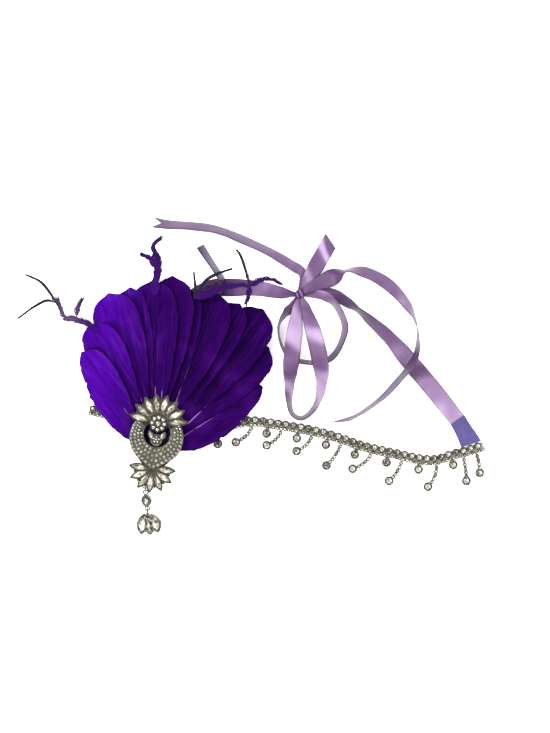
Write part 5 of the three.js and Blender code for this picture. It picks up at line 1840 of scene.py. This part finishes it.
    def build(self, tab_head: Vector, chain_end: Vector, wardrobe: dict) -> None:
        """Make every ribbon of the bow and the ties."""
        kx, ky = self.knot
        self.strip("tail_long", (-100, 48.7), wardrobe, leave=92, notch=0.5)
        self.strip("tail_curl", (79.7, -88.3), wardrobe, leave=30, point=0.8)
        self.strip("tie_right", (tab_head.x - kx, tab_head.y - ky), wardrobe, leave=5)
        self.strip("loop_ring", (30.2, -46.4), wardrobe, leave=-123, enter=-2)
        self.strip("loop_down", (14.2, -84.1), wardrobe, leave=-99, enter=-70)
        run = (chain_end.x - kx, chain_end.y - ky)
        # The left tie and the short tail wear the darker satin, which is painted shade.
        self.strip("tie_left", run, wardrobe, leave=187, look=Look.VEILED)
        self.strip("tail_short", (27.5, 43.5), wardrobe, start=(16, 78), look=Look.VEILED)
        self.loop_up(wardrobe)
        self.knot_piece(wardrobe)


@dataclass
class Felts:
    """The felt pad under the quills and the felt tab at the chain's right end."""

    pad_radius: float = 17.0
    pad_height: float = 1.5
    tab_length: float = 19.0
    tab_head: float = 11.5
    tab_foot: float = 14.0
    tab_wall: float = 1.6
    tab_lean: float = 29.0
    head_turn: float = 36.0
    tab_at: float = 0.965
    overlap: float = 1.6

    def tab_way(self) -> Vector:
        """Return the direction from the tab's foot to its head."""
        return Vector((*around(1.0, 90 + self.tab_lean), 0))

    def ribbon_start(self, chain: Chain) -> Vector:
        """Return where the right tie ends on the tab."""
        return self.tab_places(chain)[2] - self.tab_way() * self.overlap

    def tab_places(self, chain: Chain) -> tuple[Vector, Vector, Vector, Vector]:
        """Return the foot, the foot's direction, the head and the head's direction of the tab."""
        centre, ahead, across = chain.spot(chain.route(chain.right), self.tab_at)
        centre.z = 0
        foot = centre + across * (chain.width / 2 + 0.45)
        head_way = Vector((*around(1.0, self.head_turn), 0))
        return foot, ahead, foot + self.tab_way() * self.tab_length, head_way

    def build_pad(self, wardrobe: dict) -> None:
        """Make the round pad with a soft edge."""
        clear_selection()
        bpy.ops.mesh.primitive_cylinder_add(
            vertices=72,
            radius=self.pad_radius * MM,
            depth=self.pad_height * MM,
            location=(0, 0, self.pad_height / 2 * MM),
        )
        made = bpy.context.object
        made.name = "backing_pad_felt"
        bpy.ops.object.transform_apply(location=True, rotation=False, scale=False)
        bpy.ops.object.mode_set(mode="EDIT")
        bpy.ops.mesh.select_all(action="SELECT")
        bpy.ops.mesh.bevel(offset=0.4 * MM, segments=3, affect="EDGES")
        bpy.ops.object.mode_set(mode="OBJECT")
        dress(made, wardrobe[Look.PAD], "backing_pad")

    def build_tab(self, chain: Chain, wardrobe: dict) -> None:
        """Make the tab with rolled edges and a crease near the ribbon."""
        foot, foot_way, head, head_way = self.tab_places(chain)
        build = MeshBuild("tab_right_felt", [Look.TAB])
        sheets = []
        for z in (0.12, self.tab_wall):
            grid = []
            for r in range(13):
                t = r / 12
                middle = foot.lerp(head, t)
                way = foot_way.lerp(head_way, t).normalized()
                half = (self.tab_foot * (1 - t) + self.tab_head * t) / 2
                line = []
                for c in range(9):
                    side = 2 * c / 8 - 1
                    sag = 0.5 * side**4 + 0.35 * max(0.0, abs(t - 0.5) * 2 - 0.7)
                    height = z - sag * (1 if z > 1 else -0.3)
                    pull = 0.25 * math.sin(t * 5 + side) * abs(side)
                    spot = middle + way * (side * half * 0.98 + pull)
                    line.append(build.point(spot + Vector((0, 0, height))))
                grid.append(line)
            sheets.append(grid)
        low, high = sheets
        build.grid(high)
        build.grid(low, flip=True)
        for at, flip in ((0, False), (-1, True)):
            build.grid([low[at], high[at]], flip=flip)
        for at, flip in ((0, True), (-1, False)):
            build.grid([[line[at] for line in low], [line[at] for line in high]], flip=flip)
        made = build.stand_in("tab_right", wardrobe, 70)


@dataclass
class Studio:
    """Pale floor, soft light and the camera straight above."""

    middle: tuple = (79.6, 39.8)
    frame_tall: float = 498.44
    distance: float = 1500.0
    sensor: float = 36.0
    floor_tone: float = 0.92
    floor_glow: float = 0.45
    sky: float = 0.48
    aim: tuple = (0.07, 0.03, 0)
    lights: tuple = (
        ("key", (-0.75, 0.75, 1.45), 0.9, 46.0),
        ("fill", (1.15, 0.25, 1.35), 1.2, 30.0),
        ("front", (-0.1, -1.15, 1.25), 1.0, 26.0),
    )

    def build(self) -> None:
        """Make the floor, the lights, the sky and the camera."""
        clear_selection()
        bpy.ops.mesh.primitive_plane_add(size=6.0, location=(0.08, 0.04, -0.0002))
        floor = bpy.context.object
        floor.name = "floor"
        material = Shader("floor_white").finish(
            Base_Color=(self.floor_tone,) * 3,
            Roughness=0.9,
            Specular_IOR_Level=0.1,
            Emission_Color=(1, 1, 1),
            Emission_Strength=self.floor_glow,
        )
        floor.data.materials.append(material)
        for name, place, size, power in self.lights:
            self.light(name, place, size, power)
        world = bpy.data.worlds.new("studio")
        bpy.context.scene.world = world
        world.use_nodes = True
        colour, strength = world.node_tree.nodes["Background"].inputs[:2]
        colour.default_value = (1, 1, 1, 1)
        strength.default_value = self.sky
        camera = bpy.data.cameras.new("camera")
        camera.sensor_width = self.sensor
        camera.lens = self.sensor * self.distance / self.frame_tall
        made = bpy.data.objects.new("camera", camera)
        made.location = (self.middle[0] * MM, self.middle[1] * MM, self.distance * MM)
        bpy.context.collection.objects.link(made)
        bpy.context.scene.camera = made

    def light(self, name: str, place: tuple, size: float, power: float) -> None:
        """Add one soft area light that faces the object."""
        lamp = bpy.data.lights.new(name, "AREA")
        lamp.size = size
        lamp.energy = power
        made = bpy.data.objects.new(name, lamp)
        made.location = place
        aim = Vector(self.aim) - Vector(place)
        made.rotation_euler = aim.to_track_quat("-Z", "Y").to_euler()
        bpy.context.collection.objects.link(made)


def dress_frame_nodes(frame: dict, wardrobe: dict) -> None:
    """Give the solids that stay in sight their metal."""
    # The brooch frame wears the near-black metal, which is painted shade.
    for name, look in (("brooch_frame", Look.PLATE), ("drop_link", Look.SILVER)):
        made = frame["nodes"][name]
        for slot in made.material_slots:
            slot.material = wardrobe[look]


def main() -> None:
    """Build every piece in order."""
    logging.basicConfig(level=logging.INFO, format="%(message)s")
    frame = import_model()
    bpy.context.scene.view_settings.view_transform = "Standard"
    Studio().build()
    wardrobe = make_wardrobe()
    shelf = Shelf.stock()
    fan = Fan()
    chain = Chain()
    felts = Felts()
    fan.build(wardrobe)
    LOG.info("feather fan built")
    Wisps(fan).build(wardrobe)
    LOG.info("wisps built")
    Brooch().build(shelf, wardrobe)
    LOG.info("brooch built")
    chain.build(shelf, wardrobe)
    LOG.info("chain built")
    left_x, left_y = chain.left[0]
    chain_end = Vector((left_x, left_y + chain.width / 2 + 0.3, 0))
    Ribbons().build(felts.ribbon_start(chain), chain_end, wardrobe)
    LOG.info("ribbons built")
    felts.build_pad(wardrobe)
    felts.build_tab(chain, wardrobe)
    dress_frame_nodes(frame, wardrobe)


if __name__ == "__main__":
    main()
